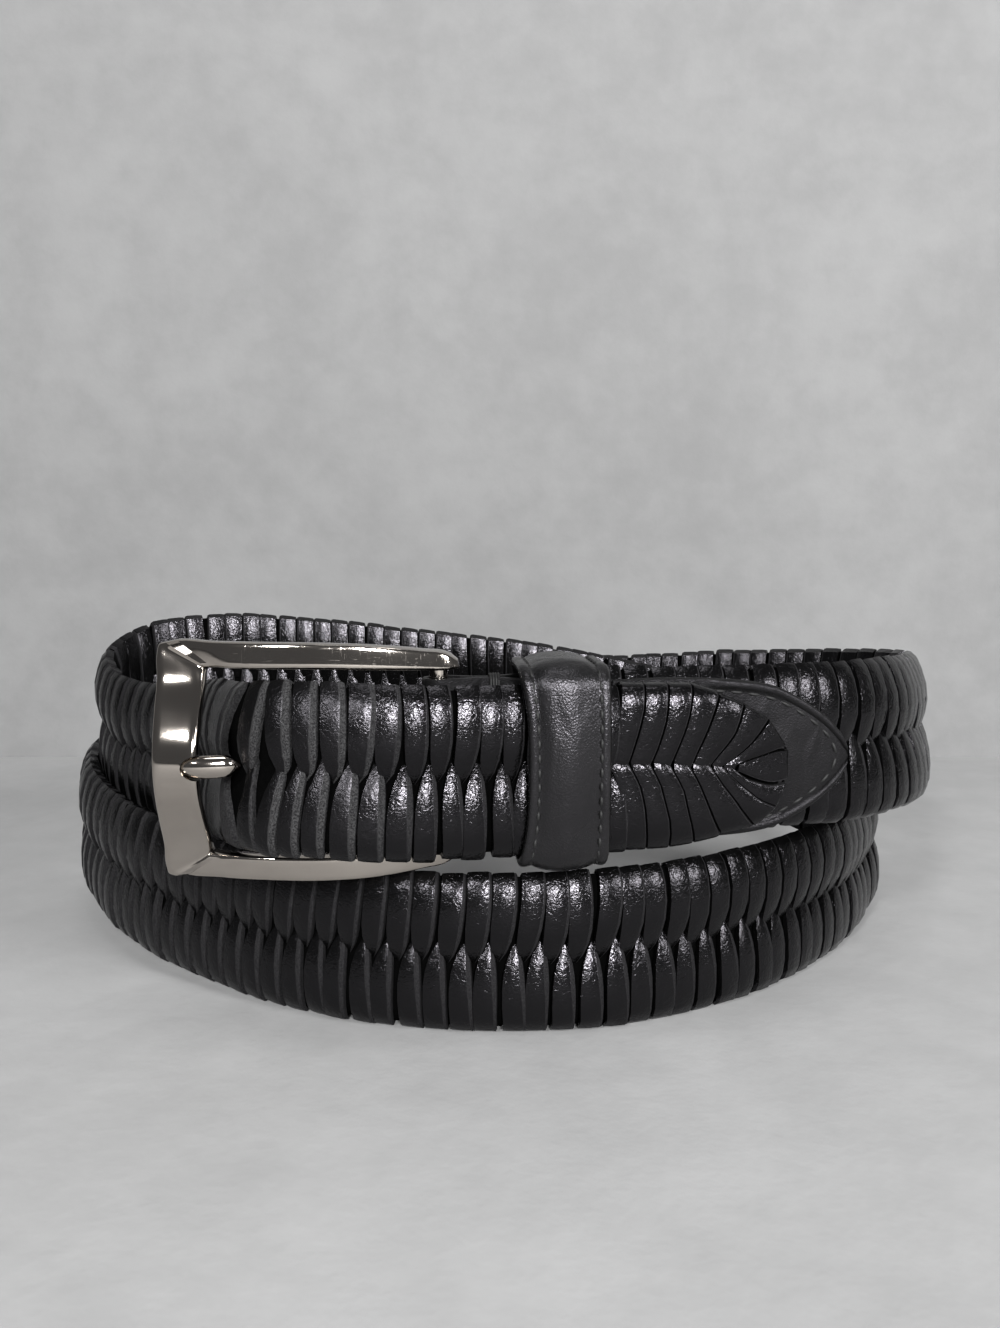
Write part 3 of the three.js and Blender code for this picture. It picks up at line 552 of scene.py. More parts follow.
class Shader:
    """One material and its nodes."""

    def __init__(self, name):
        self.material = bpy.data.materials.new(name)
        self.material.use_nodes = True
        self.tree = self.material.node_tree
        self.tree.nodes.clear()

    def feed(self, slot, value):
        if isinstance(value, Amount):
            self.tree.links.new(value.socket, slot)
        else:
            slot.default_value = value

    def node(self, kind, settings=None, sockets=None, output=0):
        node = self.tree.nodes.new(kind)
        for key, value in (settings or {}).items():
            setattr(node, key, value)
        for key, value in (sockets or {}).items():
            self.feed(node.inputs[key], value)
        return Amount(self, node.outputs[output])

    def where(self):
        return self.node("ShaderNodeTexCoord", output="Object")

    def stretched(self, vector, scale, turn=(0, 0, 0)):
        return self.node("ShaderNodeMapping", sockets={"Vector": vector, "Scale": scale, "Rotation": turn})

    def noise(self, vector, scale, detail=3, rough=0.5, bend=0.0):
        return self.node("ShaderNodeTexNoise", sockets={
            "Vector": vector, "Scale": scale, "Detail": detail, "Roughness": rough, "Distortion": bend,
        })

    def cells(self, vector, scale):
        return self.node("ShaderNodeTexVoronoi", sockets={"Vector": vector, "Scale": scale})

    def value_of(self, name):
        return self.node("ShaderNodeAttribute", {"attribute_name": name}, output="Fac")

    def mix(self, share, a, b):
        return self.node("ShaderNodeMix", {"data_type": "RGBA"}, {0: share, 6: a, 7: b}, output=2)

    def creases(self, field):
        """Thin raised lines where a noise crosses its middle."""
        middle = field - 0.5
        return 1 - middle.math("ABSOLUTE", middle).between(0.0, 0.1)

    def bump(self, height, strength, distance, normal=None):
        sockets = {"Height": height, "Strength": strength, "Distance": distance}
        if normal is not None:
            sockets["Normal"] = normal
        return self.node("ShaderNodeBump", sockets=sockets)

    def finish(self, **sockets):
        named = {key.replace("_", " "): value for key, value in sockets.items()}
        skin = self.node("ShaderNodeBsdfPrincipled", sockets=named)
        out = self.tree.nodes.new("ShaderNodeOutputMaterial")
        self.tree.links.new(skin.socket, out.inputs[0])
        return self.material


def grey(value):
    return (value, value, value, 1.0)


def make_braid_leather():
    """Glossy, creased strips with a napped cut edge, and a painted highlight along the rounded edge between face
    and cut side.

    across, tone and worn are the strips' own attributes: the place from a strip's left edge to its right one, a
    number of the strip's own, and how dull it is.
    """
    shader = Shader("braid_leather")
    where = shader.where()
    across = shader.value_of("across")
    tone = shader.value_of("tone")
    worn = shader.value_of("worn")
    shift = shader.node("ShaderNodeCombineXYZ", sockets={0: tone * 0.9, 1: tone * 0.37, 2: tone * 0.53})
    spot = shader.node("ShaderNodeVectorMath", {"operation": "ADD"}, {0: where, 1: shift})
    folds = shader.noise(shader.stretched(spot, (1.0, 1.0, 0.8)), 800, 1, 0.5, 1.2)
    ridges = shader.creases(folds)
    ripple = shader.noise(shader.stretched(spot, (0.7, 0.7, 1.6)), 2300, 1, 0.5, 0.8)
    grain = shader.cells(spot, 4200)
    patches = shader.noise(spot, 150, 2, 0.5)
    band = 0.95 - worn * 0.24
    cut = across.between(band, band + 0.035)
    # painted highlight: a lighter grey line where the strip's face rounds over into its cut side
    line = across.between(band - 0.06, band - 0.01) * (1 - across.between(band, band + 0.05))
    fresh = worn.between(0.3, 0.95)
    dull = (worn + (patches - 0.5) * 0.8).between(0.4, 0.8)
    nap = shader.noise(spot, 3000, 2, 0.7).between(0.35, 0.65)
    dark_suede = shader.mix(nap, grey(0.002), grey(0.012))
    light_suede = shader.mix(nap, grey(0.008), grey(0.052))
    suede = shader.mix(fresh, dark_suede, light_suede)
    colour = shader.mix(cut, grey(0.002), suede)
    # lay the painted highlight along that edge line
    colour = shader.mix(line * fresh * 0.7, colour, grey(0.04))
    rolling = shader.bump(folds, 1.0, 0.00012)
    wrinkle = shader.bump(ridges * 0.12 + ripple, 1.0, 0.000048, rolling)
    pebble = shader.bump(grain + nap * cut * 12, 1.0, 0.000003, wrinkle)
    rough = 0.165 + patches * 0.07 + dull * 0.1 + cut * 0.6
    return shader.finish(
        Base_Color=colour,
        Roughness=rough,
        IOR=BRAID_GLOSS,
        Specular_Tint=LEATHER_SHEEN,
        Normal=pebble,
    )


# The plait's inside is painted near-black with almost no shine: painted shade for the gaps between the strips.
def make_core_shade_leather():
    shader = Shader("inner_painted_shade_leather")
    spot = shader.noise(shader.where(), 900, 2, 0.6)
    return shader.finish(Base_Color=shader.mix(spot, grey(0.0015), grey(0.003)), Roughness=0.9, IOR=1.05,
                         Normal=shader.bump(spot, 0.4, 0.0001))


def make_plain_leather(name, rough, grain_size, gloss):
    """Smooth finished leather with a fine grain and soft creases."""
    shader = Shader(name)
    where = shader.where()
    grain = shader.cells(where, grain_size)
    fine = shader.noise(where, grain_size * 2.2, 2, 0.6)
    soft = shader.noise(shader.stretched(where, (1.0, 1.0, 0.3)), 210, 1, 0.5, 0.6)
    patches = shader.noise(where, 110, 2, 0.5)
    colour = shader.mix(patches, grey(0.004), grey(0.01))
    low = shader.bump(soft, 1.0, 0.0006)
    top = shader.bump(grain + fine * 0.8, 1.0, 0.00005, low)
    return shader.finish(
        Base_Color=colour,
        Roughness=rough + patches * 0.1,
        IOR=gloss,
        Specular_Tint=LEATHER_SHEEN,
        Normal=top,
    )


def make_thread():
    shader = Shader("thread")
    where = shader.where()
    twist = shader.noise(where, 3400, 2, 0.6)
    return shader.finish(Base_Color=shader.mix(twist, grey(0.006), grey(0.02)), Roughness=0.6,
                         Normal=shader.bump(twist, 0.6, 0.00008))


def make_metal():
    """Polished dark nickel with handling scratches."""
    shader = Shader("dark_nickel")
    where = shader.where()
    fog = shader.noise(where, 60, 3, 0.5)
    hair = shader.noise(shader.stretched(where, (1.0, 1.0, 0.04), (0.5, 0.3, 0.9)), 3800, 2, 0.5)
    hair = hair.between(0.62, 0.7)
    other = shader.noise(shader.stretched(where, (0.05, 1.0, 1.0), (0.2, 0.9, 0.4)), 3000, 2, 0.5)
    other = other.between(0.64, 0.72)
    marks = (hair + other) * fog.between(0.45, 0.65)
    return shader.finish(
        Base_Color=shader.mix(fog, (0.41, 0.375, 0.34, 1), (0.47, 0.437, 0.402, 1)),
        Metallic=1.0,
        Roughness=0.07 + fog * 0.05 + marks * 0.1,
        Normal=shader.bump(marks, 0.12, 0.00003),
    )


def make_paint(name, light, dark):
    """Matte paint, clear from behind."""
    shader = Shader(name)
    where = shader.where()
    cloud = shader.noise(where, 9, 5, 0.62, 0.4)
    strokes = shader.noise(shader.stretched(where, (1.0, 1.0, 0.35)), 60, 4, 0.6)
    share = (cloud * 0.6 + strokes * 0.4).between(0.3, 0.7)
    behind = shader.node("ShaderNodeNewGeometry", output="Backfacing")
    return shader.finish(Base_Color=shader.mix(share, grey(dark), grey(light)), Roughness=0.75, Alpha=1 - behind,
                         Normal=shader.bump(strokes, 0.15, 0.002))


# ---------------------------------------------------------------- the braid

def strip_mesh(name, chart):
    """One strip, flat along the strap: a grid shaped by its chart and profile."""
    height, depth, left, right, rise, turn = np.array(chart).T
    run_up = np.gradient(height)
    run_out = np.gradient(depth)
    size = np.hypot(run_up, run_out)
    side = 1.0 if height[4] > height[0] else -1.0
    normal_up = -run_out / size * side
    normal_out = run_up / size * side
    narrow = np.clip((right - left) / 4.0, 0.25, 1.0)[:, None]
    along = left[:, None] + (right - left)[:, None] * ACROSS
    edge = np.interp(np.abs(height - STRAP_WIDTH / 2), [14.5, 17], [1.0, 0.5])[:, None]
    proud = LIFT * np.where(LIFT < -0.5, edge, narrow) + rise[:, None]
    up = height[:, None] + normal_up[:, None] * proud
    out = depth[:, None] + normal_out[:, None] * proud
    points = np.stack([along, -out, up], axis=-1)
    piece = sheet_of(name, points)
    tag(piece, "across", grid_values(np.clip(ACROSS * (1 + turn[:, None]), 0, 1)))
    if side > 0:
        turn_over(piece)
    return piece


def grid_values(table):
    """A table's values in the order of a grid's vertices."""
    return np.asarray(table).T.ravel()


def run_of_strips(name, chart, strap, starts, seed):
    """Copies one strip along the strap and bends the copies onto it, each a little different."""
    piece = strip_mesh(name, chart)
    each = len(piece.data.vertices)
    count = len(starts)
    array = piece.modifiers.new("copies", "ARRAY")
    array.count = count
    array.use_relative_offset = False
    array.use_constant_offset = True
    array.constant_offset_displace = (PITCH * MM, 0, 0)
    apply_all(piece)
    flat = places(piece)
    copy = np.arange(len(flat)) // each
    random = np.random.default_rng(seed)
    starts = np.asarray(starts)
    pitch = np.minimum(np.diff(starts, append=starts[-1] + 4.7), 5.7)
    local = (flat[:, 0] - copy * PITCH) * pitch[copy] / PITCH
    out = -flat[:, 1]
    up = flat[:, 2]
    lean = random.normal(0, 0.022, count)[copy]
    local = local + random.normal(0, 0.13, count)[copy] + (up - STRAP_WIDTH / 2) * lean
    edge = np.clip(np.abs(up - STRAP_WIDTH / 2) / 17.5, 0, 1)
    local = local + swing_of(strap, starts)[copy] * (1 - edge) ** 1.6
    out = out * (1 + random.normal(0, 0.035, count)[copy])
    up = up + random.normal(0, 0.35, count)[copy] * (1 - edge ** 3) + random.normal(0, 0.12, count)[copy] * edge
    spots = strap.place(starts[copy] + local, up, out)
    spots[:, 2] = np.maximum(spots[:, 2], 0.0)
    put(piece, spots)
    tag(piece, "tone", random.uniform(0, 1, count)[copy])
    return piece, copy


def swing_of(strap, starts):
    """How far the strips' ends in the valley swing to the right: most just after the prong's hole."""
    after = starts - strap.along_at(HOLE_X)
    return np.where(after < 0, 0, np.interp(after, [0, 12, 27, 45], [2.4, 1.9, 0.8, 0.0]))


def single_strip(name, points, worn, rising, random):
    """A strip laid through its own points, with the attributes that its leather reads."""
    piece = sheet_of(name, points)
    count = len(piece.data.vertices)
    tag(piece, "across", grid_values(np.tile(ACROSS, (len(points), 1))))
    tag(piece, "tone", np.full(count, random.uniform(0, 1)))
    tag(piece, "worn", np.full(count, worn))
    if rising:
        turn_over(piece)
    return piece


def hole_strip(name, strap, left, right, chart, random):
    """A strip between two lines on the strap's front, going on over its edge as in the chart."""
    rows = np.array(chart)
    front = rows[:8]
    order = np.argsort(front[:, 0])
    hole = strap.along_at(HOLE_X)
    left, right = np.array(left), np.array(right)
    knots = np.linspace(0, 1, len(left))
    points = []
    for t in np.linspace(0, 1, 10):
        a = np.array([np.interp(t, knots, left[:, k]) for k in (0, 1)])
        b = np.array([np.interp(t, knots, right[:, k]) for k in (0, 1)])
        along = hole + a[0] + (b[0] - a[0]) * ACROSS
        up = a[1] + (b[1] - a[1]) * ACROSS
        proud = LIFT * np.interp(b[0] - a[0], [0, 3], [0.2, 1])
        tucked = 0.5 if t < 0.05 else 0.0
        out = np.interp(up, front[order, 0], front[order, 1]) + proud - tucked
        points.append(strap.place(along, up, out))
    along = hole + left[-1, 0] + (right[-1, 0] - left[-1, 0]) * ACROSS
    for height, depth in rows[8:11, :2]:
        points.append(strap.place(along, height, depth))
    return single_strip(name, points, HOLE_WORN, left[-1, 1] > left[0, 1], random)


def make_hole_strips(strap):
    random = np.random.default_rng(12)
    parts = []
    for side, lines, chart in (("upper", HOLE_UPPER, UPPER_STRIP), ("lower", HOLE_LOWER, LOWER_STRIP)):
        for i, (left, right) in enumerate(lines):
            parts.append(hole_strip(f"hole_{side}_{i}", strap, left, right, chart, random))
    return join("braid_hole_strips", parts)


def worn_of(strap, starts):
    """How dull the strips are: most beside the prong's hole, and more on the left of the lower turn."""
    x = strap.read(strap.line[:, 0], starts)
    z = strap.read(strap.line[:, 2], starts)
    y = strap.read(strap.line[:, 1], starts)
    tail_part = np.interp(x, [-45, -32, -18, 0], [0.95, 0.75, 0.35, 0.15])
    lower_part = np.interp(x, [-90, 0, 60], [0.5, 0.35, 0.2])
    in_tail = starts > strap.along_at(TAIL_FROM_X)
    return np.where(in_tail, tail_part, np.where((z < 12) & (y < 0), lower_part, 0.25))


def strip_starts(strap, start, end, pitch):
    count = int(round((end - start) / pitch))
    return start + np.arange(count) * (end - start) / count


def make_core(strap, end):
    """The inside of the plait under the strips; its material is near-black painted shade for the gaps between
    them.
    """
    stations = np.concatenate([np.arange(1.0, end, 3.0), [end]])
    back = [(up, -out) for up, out in CORE[-2:0:-1]]
    ring = np.array(CORE + back)
    rings = [strap.place(np.full(len(ring), s), ring[:, 0], ring[:, 1]) for s in stations]
    return tube_of("braid_core", rings)


def lobe(share):
    """How far the tail's end stands out at a share of its half height: two soft lobes and a valley."""
    share = np.abs(share)
    return np.interp(share, [0, 0.1, 0.25, 0.5, 0.75, 0.9, 1.0, 1.3], [2.5, 2.6, 2.9, 3.2, 3.0, 2.4, 1.4, 0.0])


def fan_depth(strap, x, z):
    """The front face of the tail's end."""
    along = np.array([strap.along_at(v) for v in np.ravel(x)]).reshape(np.shape(x))
    middle = strap.read(strap.line[:, 1], along)
    half = np.interp(x, [25, 41, 47, 54, 60], [16.6, 16.2, 15.2, 13.6, 11.5])
    thick = np.interp(x, [20, 40, 50, 56, 61], [1.0, 0.97, 0.88, 0.8, 0.72])
    return middle - thick * lobe((z - TAIL_MIDDLE) / half)


def fan_strip(name, strap, left, right, wrap, random):
    """A strip between two gap lines, over the edge of the tail or cut off on the tip tab."""
    upper = left[-1][1] > left[0][1]
    ends = ((1.6, -2.6), (-1.2, -3.0)) if upper else ((0.9, 1.9), (-0.9, 1.6))
    left = np.array([np.add(left[0], ends[0])] + list(left))
    right = np.array([np.add(right[0], ends[1])] + list(right))
    t = np.array([0, 0.09, 0.18, 0.27, 0.38, 0.5, 0.62, 0.75, 0.88, 1.0])
    knots = np.array([0, 0.14, 0.36, 0.58, 0.8, 1.0])
    a = np.stack([np.interp(t, knots, left[:, k]) for k in (0, 1)], axis=-1)
    b = np.stack([np.interp(t, knots, right[:, k]) for k in (0, 1)], axis=-1)
    wide = np.linalg.norm(b - a, axis=1)
    rises = np.zeros(len(t))
    rises[:4] = (-0.8, -0.1, 0.15, 0.1) if upper else (-0.9, 0.1, 0.35, 0.3)
    rows = []
    for i, rise in enumerate(rises):
        at = a[i] + (b[i] - a[i]) * ACROSS[:, None]
        y = fan_depth(strap, at[:, 0], at[:, 1])
        proud = LIFT * np.where(LIFT < -0.5, 1.0, min(1.0, wide[i] / 3.5)) + rise
        rows.append(np.stack([at[:, 0], y - proud, at[:, 1]], axis=-1))
    last = rows[-1]
    away = rows[-1] - rows[-2]
    away /= np.linalg.norm(away, axis=1)[:, None]
    if wrap:
        up = np.sign(last[0, 2] - TAIL_MIDDLE)
        rows += [last + np.array([0, back, rise * up]) for back, rise in ((0.9, 0.75), (2.8, 1.05), (5.6, 0.2))]
    else:
        rows += [last + away * on + np.array([0, back, 0]) for on, back in ((0.35, 0.35), (0.5, 1.2), (0.5, 3.6))]
    return single_strip(name, rows, FAN_WORN, upper, random)


def make_fan(strap):
    random = np.random.default_rng(31)
    parts = []
    for side, lines in (("upper", FAN_UPPER), ("lower", FAN_LOWER)):
        for i in range(len(lines) - 1):
            parts.append(fan_strip(f"fan_{side}_{i}", strap, lines[i], lines[i + 1], i < FAN_WRAPPED, random))
    end_left = [FAN_UPPER[-1][0], (53.5, 60.9), (56.0, 61.7), (58.2, 62.5), (60.2, 62.4)]
    end_right = [FAN_LOWER[-1][0], (53.5, 56.6), (56.0, 55.7), (58.2, 55.5), (60.2, 56.0)]
    parts.append(fan_strip("fan_end", strap, end_left, end_right, False, random))
    return join("braid_fan", parts)


# ---------------------------------------------------------------- the buckle

def soften(ring):
    """Cuts the corners of a closed ring of points."""
    ring = np.asarray(ring, float)
    after = np.roll(ring, -1, axis=0)
    return np.stack([ring * 0.78 + after * 0.22, ring * 0.22 + after * 0.78], axis=1).reshape(-1, ring.shape[1])


def make_buckle_frame():
    """The loop swept from one arm's end to the other's, with its notch cut and the pivot bar set in."""
    section = soften(FRAME_SECTION)
    mirrored = [(a, -b, c, -d, e, f) for a, b, c, d, e, f in FRAME[:0:-1]]
    rows = np.array(mirrored + FRAME)
    place = np.stack([rows[:, 2] * FRAME_LENGTH, rows[:, 3] * FRAME_OPENING / 2], axis=1)
    knots = np.concatenate([[0], np.cumsum(np.linalg.norm(np.diff(place, axis=0), axis=1))])
    read = smooth_rows(rows, steps_between(knots, 5), knots)
    on_arm = (np.abs(read[:, 1]) > 0.93) & (read[:, 0] < 0.8)
    steep = np.abs(np.gradient(read[:, 4])) / np.maximum(0.001, np.abs(np.gradient(read[:, 0])))
    bow_slope = np.where(on_arm, np.minimum(steep, 1.5), 0)
    rings = []
    for (inner_along, inner, outer_along, outer, back, deep), slope in zip(read, bow_slope):
        along = inner_along + (outer_along - inner_along) * section[:, 0]
        high = inner + (outer - inner) * section[:, 0]
        front = PIVOT[1] - FRONT_FACE * FRAME_BOW + (back + slope * (along - inner_along)) * FRAME_BOW
        calm = np.where(section[:, 1] < 0.2, np.interp(inner_along, [0.3, 0.75], [0.55, 1.0]), 1.0)
        rings.append(np.stack([
            PIVOT[0] - along * FRAME_LENGTH,
            front + section[:, 1] * calm * deep * PIVOT_RADIUS,
            PIVOT[2] + high * FRAME_OPENING / 2,
        ], axis=-1))
    loop = tube_of("frame_loop", rings)
    deselect()
    notch = (PIVOT[0] - FRONT_BAR * FRAME_LENGTH + 1.0, PIVOT[1] - FRONT_FACE * FRAME_BOW, PIVOT[2] + PRONG_RISE)
    bpy.ops.mesh.primitive_cylinder_add(vertices=24, radius=(PRONG_WIDTH / 2 + NOTCH_ROOM) * MM, depth=16 * MM,
                                        location=Vector(notch) * MM, rotation=(math.pi / 2, 0, 0))
    cutter = active()
    cutter.scale = (NOTCH_STRETCH, 1, 1)
    settle(loop)
    cut = loop.modifiers.new("notch", "BOOLEAN")
    cut.operation = "DIFFERENCE"
    cut.object = cutter
    apply_all(loop)
    bpy.data.objects.remove(cutter)
    deselect()
    bpy.ops.mesh.primitive_cylinder_add(vertices=32, radius=PIVOT_RADIUS * MM, depth=(FRAME_OPENING + 1.5) * MM,
                                        location=Vector(PIVOT) * MM)
    bar = active()
    settle(bar)
    piece = join("buckle_frame_polished", [loop, bar])
    return settle(piece, 28, False)


def make_buckle_prong():
    """A half-round tongue from the pivot bar to the notch, and the hook that holds it on the bar."""
    tip = np.array([PIVOT[0] - 0.89 * FRAME_LENGTH, PIVOT[1] - 1.29 * FRAME_BOW])
    run = tip - np.array(PIVOT[:2])
    length = np.linalg.norm(run)
    way = run / length
    side = np.array([way[1], -way[0]])
    if side[1] > 0:
        side = -side
    middle = PIVOT[2] + PRONG_RISE
    rings = []
    for share, wide, thick, rise in PRONG:
        ring = []
        for k in range(24):
            angle = 2 * math.pi * k / 24
            z = math.cos(angle) * PRONG_WIDTH / 2 * wide
            bulge = math.sin(angle)
            out = bulge * PRONG_THICK / 2 * thick * (1.05 if bulge > 0 else 0.8)
            p = np.array(PIVOT[:2]) + way * length * share + side * (out - rise * PRONG_THICK)
            ring.append((p[0], p[1], middle + z))
        rings.append(ring)
    tongue = tube_of("prong_tongue", rings)
    hook = []
    for k in range(25):
        angle = math.radians(35 + 290 * k / 24)
        ring = []
        for j in range(12):
            turn = 2 * math.pi * j / 12
            reach = HOOK_REACH + math.cos(turn) * HOOK_RADIUS
            p = np.array(PIVOT[:2]) + way * math.cos(angle) * reach + side * math.sin(angle) * reach
            ring.append((p[0], p[1], middle + math.sin(turn) * PRONG_WIDTH * 0.45))
        hook.append(ring)
    loop = tube_of("prong_hook", hook)
    settle(tongue)
    settle(loop)
    piece = join("buckle_prong_polished", [tongue, loop])
    return settle(piece, 40, False)


# ---------------------------------------------------------------- the leather parts

def stitch_line(name, points, outs, length, width):
    """Thread stitches along a line: one bead, copied to each place. points and outs are in millimetres."""
    points = np.asarray(points, float)
    outs = np.asarray(outs, float)
    deselect()
    bpy.ops.mesh.primitive_uv_sphere_add(segments=8, ring_count=5, radius=1)
    bead = active()
    bead.name = name
    array = bead.modifiers.new("copies", "ARRAY")
    array.count = len(points) - 1
    array.use_relative_offset = False
    array.use_constant_offset = True
    array.constant_offset_displace = (4, 0, 0)
    each = len(bead.data.vertices)
    apply_all(bead)
    flat = places(bead) * MM
    copy = np.arange(len(flat)) // each
    local = flat - np.stack([copy * 4, copy * 0, copy * 0], axis=1)
    way = points[1:] - points[:-1]
    step = np.linalg.norm(way, axis=1)
    way /= step[:, None]
    out = (outs[1:] + outs[:-1]) / 2
    out /= np.linalg.norm(out, axis=1)[:, None]
    side = np.cross(way, out)
    middle = (points[1:] + points[:-1]) / 2
    reach = np.minimum(length, step * 0.86) / 2
    arch = 1 - local[:, 2] ** 2
    spot = (middle[copy] + way[copy] * (local[:, 2] * reach[copy])[:, None]
            + side[copy] * (local[:, 0] * width / 2)[:, None]
            + out[copy] * (local[:, 1] * width / 2 + (arch - 0.75) * width * 0.45)[:, None])
    put(bead, spot)
    return settle(bead, 60)


def even_points(line, pitch):
    """Points at an even pitch along a line of points."""
    line = np.asarray(line, float)
    run = np.concatenate([[0], np.cumsum(np.linalg.norm(np.diff(line, axis=0), axis=1))])
    count = max(2, int(round(run[-1] / pitch)))
    at = np.linspace(0, run[-1], count + 1)
    return np.stack([np.interp(at, run, line[:, k]) for k in range(line.shape[1])], axis=-1)


def keeper_path():
    """The keeper's loop in its own plane: place back, place up and the way out, once round."""
    deep, high, corner = KEEPER_DEEP, KEEPER_HIGH, KEEPER_CORNER
    path = []
    for turn, y, z in [(-0.5, -deep + corner, -high + corner), (0, deep - corner, -high + corner),
                       (0.5, deep - corner, high - corner), (1, -deep + corner, high - corner)]:
        for k in range(9):
            angle = math.pi * (turn + 0.5 * k / 8)
            path.append((y + corner * math.sin(angle), z - corner * math.cos(angle), angle))
        if turn in (0, 1):
            ahead = 1 if turn == 0 else -1
            for share in np.linspace(0.08, 0.92, 12):
                z_here = ahead * (2 * share - 1) * (high - corner)
                path.append((ahead * deep, z_here, math.pi / 2 if turn == 0 else 1.5 * math.pi))
    return path


def keeper_point(place, across, out):
    """A point of the keeper: across its width and out from its inside, at a place of its loop."""
    y, z, angle = place
    flare = KEEPER_FLARE * min(1, abs(z) / KEEPER_HIGH) ** 3
    bow = KEEPER_BOW * max(0, 1 - (z / KEEPER_HIGH) ** 2) if y < 0 else 0
    x = across * (KEEPER_WIDTH / 2 + flare) - flare
    back = y + math.sin(angle) * out - bow
    up = z - math.cos(angle) * out
    c, s = math.cos(FRONT_TURN), math.sin(FRONT_TURN)
    return (KEEPER_AT[0] + x * c - back * s, KEEPER_AT[1] + x * s + back * c, KEEPER_AT[2] + up)


def make_keeper():
    rings = [[keeper_point(place, across, out) for across, out in KEEPER_SECTION] for place in keeper_path()]
    return settle(tube_of("keeper_band", rings, closed=True), 50)


def make_keeper_stitches():
    path = keeper_path()
    loop = path + path[:1]
    lines = []
    for side in (-1, 1):
        base = np.array([keeper_point(place, side * 0.76, 1.2) for place in loop])
        up = np.array([keeper_point(place, side * 0.76, 2.2) for place in loop])
        both = even_points(np.concatenate([base, up - base], axis=1), 2.9)
        lines.append(stitch_line(f"keeper_stitches_{side}", both[:, :3], both[:, 3:], 2.3, 0.75))
    return join("keeper_stitches", lines)


def tip_rows():
    rows = np.array(TIP)
    knots = np.concatenate([[0], np.cumsum(np.hypot(np.diff(rows[:, 0]), np.diff(rows[:, 1])))])
    read = smooth_rows(rows, steps_between(knots, 4), knots)
    read[:, 1] = np.maximum(read[:, 1], 0.01)
    return read


def tip_outline(inset):
    """The tip tab's outline from its top left round the point to its bottom left, moved inwards."""
    rows = tip_rows()
    x = TIP_START[0] + rows[:, 0] * STRAP_WIDTH
    half = rows[:, 1] * STRAP_WIDTH
    y = TIP_START[1] + rows[:, 2] * STRAP_THICK
    top = np.stack([x, half], axis=1)
    line = np.concatenate([top, top[::-1] * (1, -1)])
    way = np.gradient(line, axis=0)
    way /= np.linalg.norm(way, axis=1)[:, None]
    inward = np.stack([way[:, 1], -way[:, 0]], axis=1)
    moved = line + inward * inset
    back = np.interp(moved[:, 0], x, y)
    return np.stack([moved[:, 0], back, TIP_START[2] + moved[:, 1]], axis=1)


def make_tip_tab():
    """The pointed backing with its turned border."""
    rings = []
    for along, half, back, border in tip_rows():
        h = half * STRAP_WIDTH
        b = min(1.7, 0.45 * h)
        front = -TIP_LEATHER / 2
        proud = TIP_BORDER * border
        side = [
            (-h, -front), (-h, front + 0.35 - 0.3 * proud), (-h + 0.12 * b, front - 0.55 * proud),
            (-h + 0.4 * b, front - proud), (-h + 0.75 * b, front - 0.95 * proud),
            (-h + 1.02 * b, front - 0.6 * proud), (-h + 1.25 * b, front + 0.1 * proud), (-h + 1.6 * b, front),
        ]
        section = side + [(0.0, front)] + [(-z, y) for z, y in side[::-1]]
        x = TIP_START[0] + along * STRAP_WIDTH
        middle = TIP_START[1] + back * STRAP_THICK
        rings.append([(x, middle + y, TIP_START[2] + z) for z, y in section])
    return settle(tube_of("tip_leather", rings), 50)


def make_tip_stitches():
    line = tip_outline(2.5)
    line = line[(line[:, 0] > TIP_START[0] + 18)]
    line[:, 1] -= TIP_LEATHER / 2 - 0.05
    spots = even_points(line, 3.6)
    outs = np.tile((0, -1, 0), (len(spots), 1))
    return stitch_line("tip_stitches", spots, outs, 3.0, 0.75)


def make_tab():
    """One piece of leather round the pivot bar, with the strap's end between its two leaves."""
    gap = 0.3
    wrap = PIVOT_RADIUS + 1.2 * gap + TAB_LEATHER / 2
    leaf = STRAP_THICK / 2 + 2.1 * gap + TAB_LEATHER / 2
    pinch = TAB_LEATHER / 2 + 0.16
    line = [(33, -leaf), (24.5, -leaf), (20, -leaf + 0.35), (15.5, -pinch - 2.15), (11.2, -pinch),
            (7.5, -pinch - 0.25), (3.6, -0.84 * wrap)]
    turns = [-math.pi * (0.42 + 1.16 * k / 12) for k in range(13)]
    nose = [(wrap * math.cos(turn), wrap * math.sin(turn)) for turn in turns]
    middle = np.array(line + nose + [(a, -b) for a, b in line[::-1]])
    way = np.gradient(middle, axis=0)
    way /= np.linalg.norm(way, axis=1)[:, None]
    side = np.stack([-way[:, 1], way[:, 0]], axis=1) * TAB_LEATHER / 2
    high = 0.95 * STRAP_WIDTH
    c, s = math.cos(TAB_TURN), math.sin(TAB_TURN)
    rings = []
    for (px, py), (sx, sy) in zip(middle, side):
        ring = []
        for over, up in TAB_SECTION:
            x = px + sx * over
            y = py + sy * over
            ring.append((PIVOT[0] + x * c - y * s, PIVOT[1] + x * s + y * c, PIVOT[2] + TAB_RISE + up * high))
        rings.append(ring)
    tab = tube_of("tab_leather", rings)
    settle(tab)
    deselect()
    bpy.ops.mesh.primitive_cube_add(size=1, location=Vector((PIVOT[0] - 1, PIVOT[1], PIVOT[2] + PRONG_RISE)) * MM)
    cutter = active()
    cutter.scale = Vector((17, 12, PRONG_WIDTH + 0.9)) * MM
    cutter.rotation_euler = (0, 0, TAB_TURN)
    cut = tab.modifiers.new("slot", "BOOLEAN")
    cut.operation = "DIFFERENCE"
    cut.object = cutter
    apply_all(tab)
    bpy.data.objects.remove(cutter)
    return settle(tab, 40)


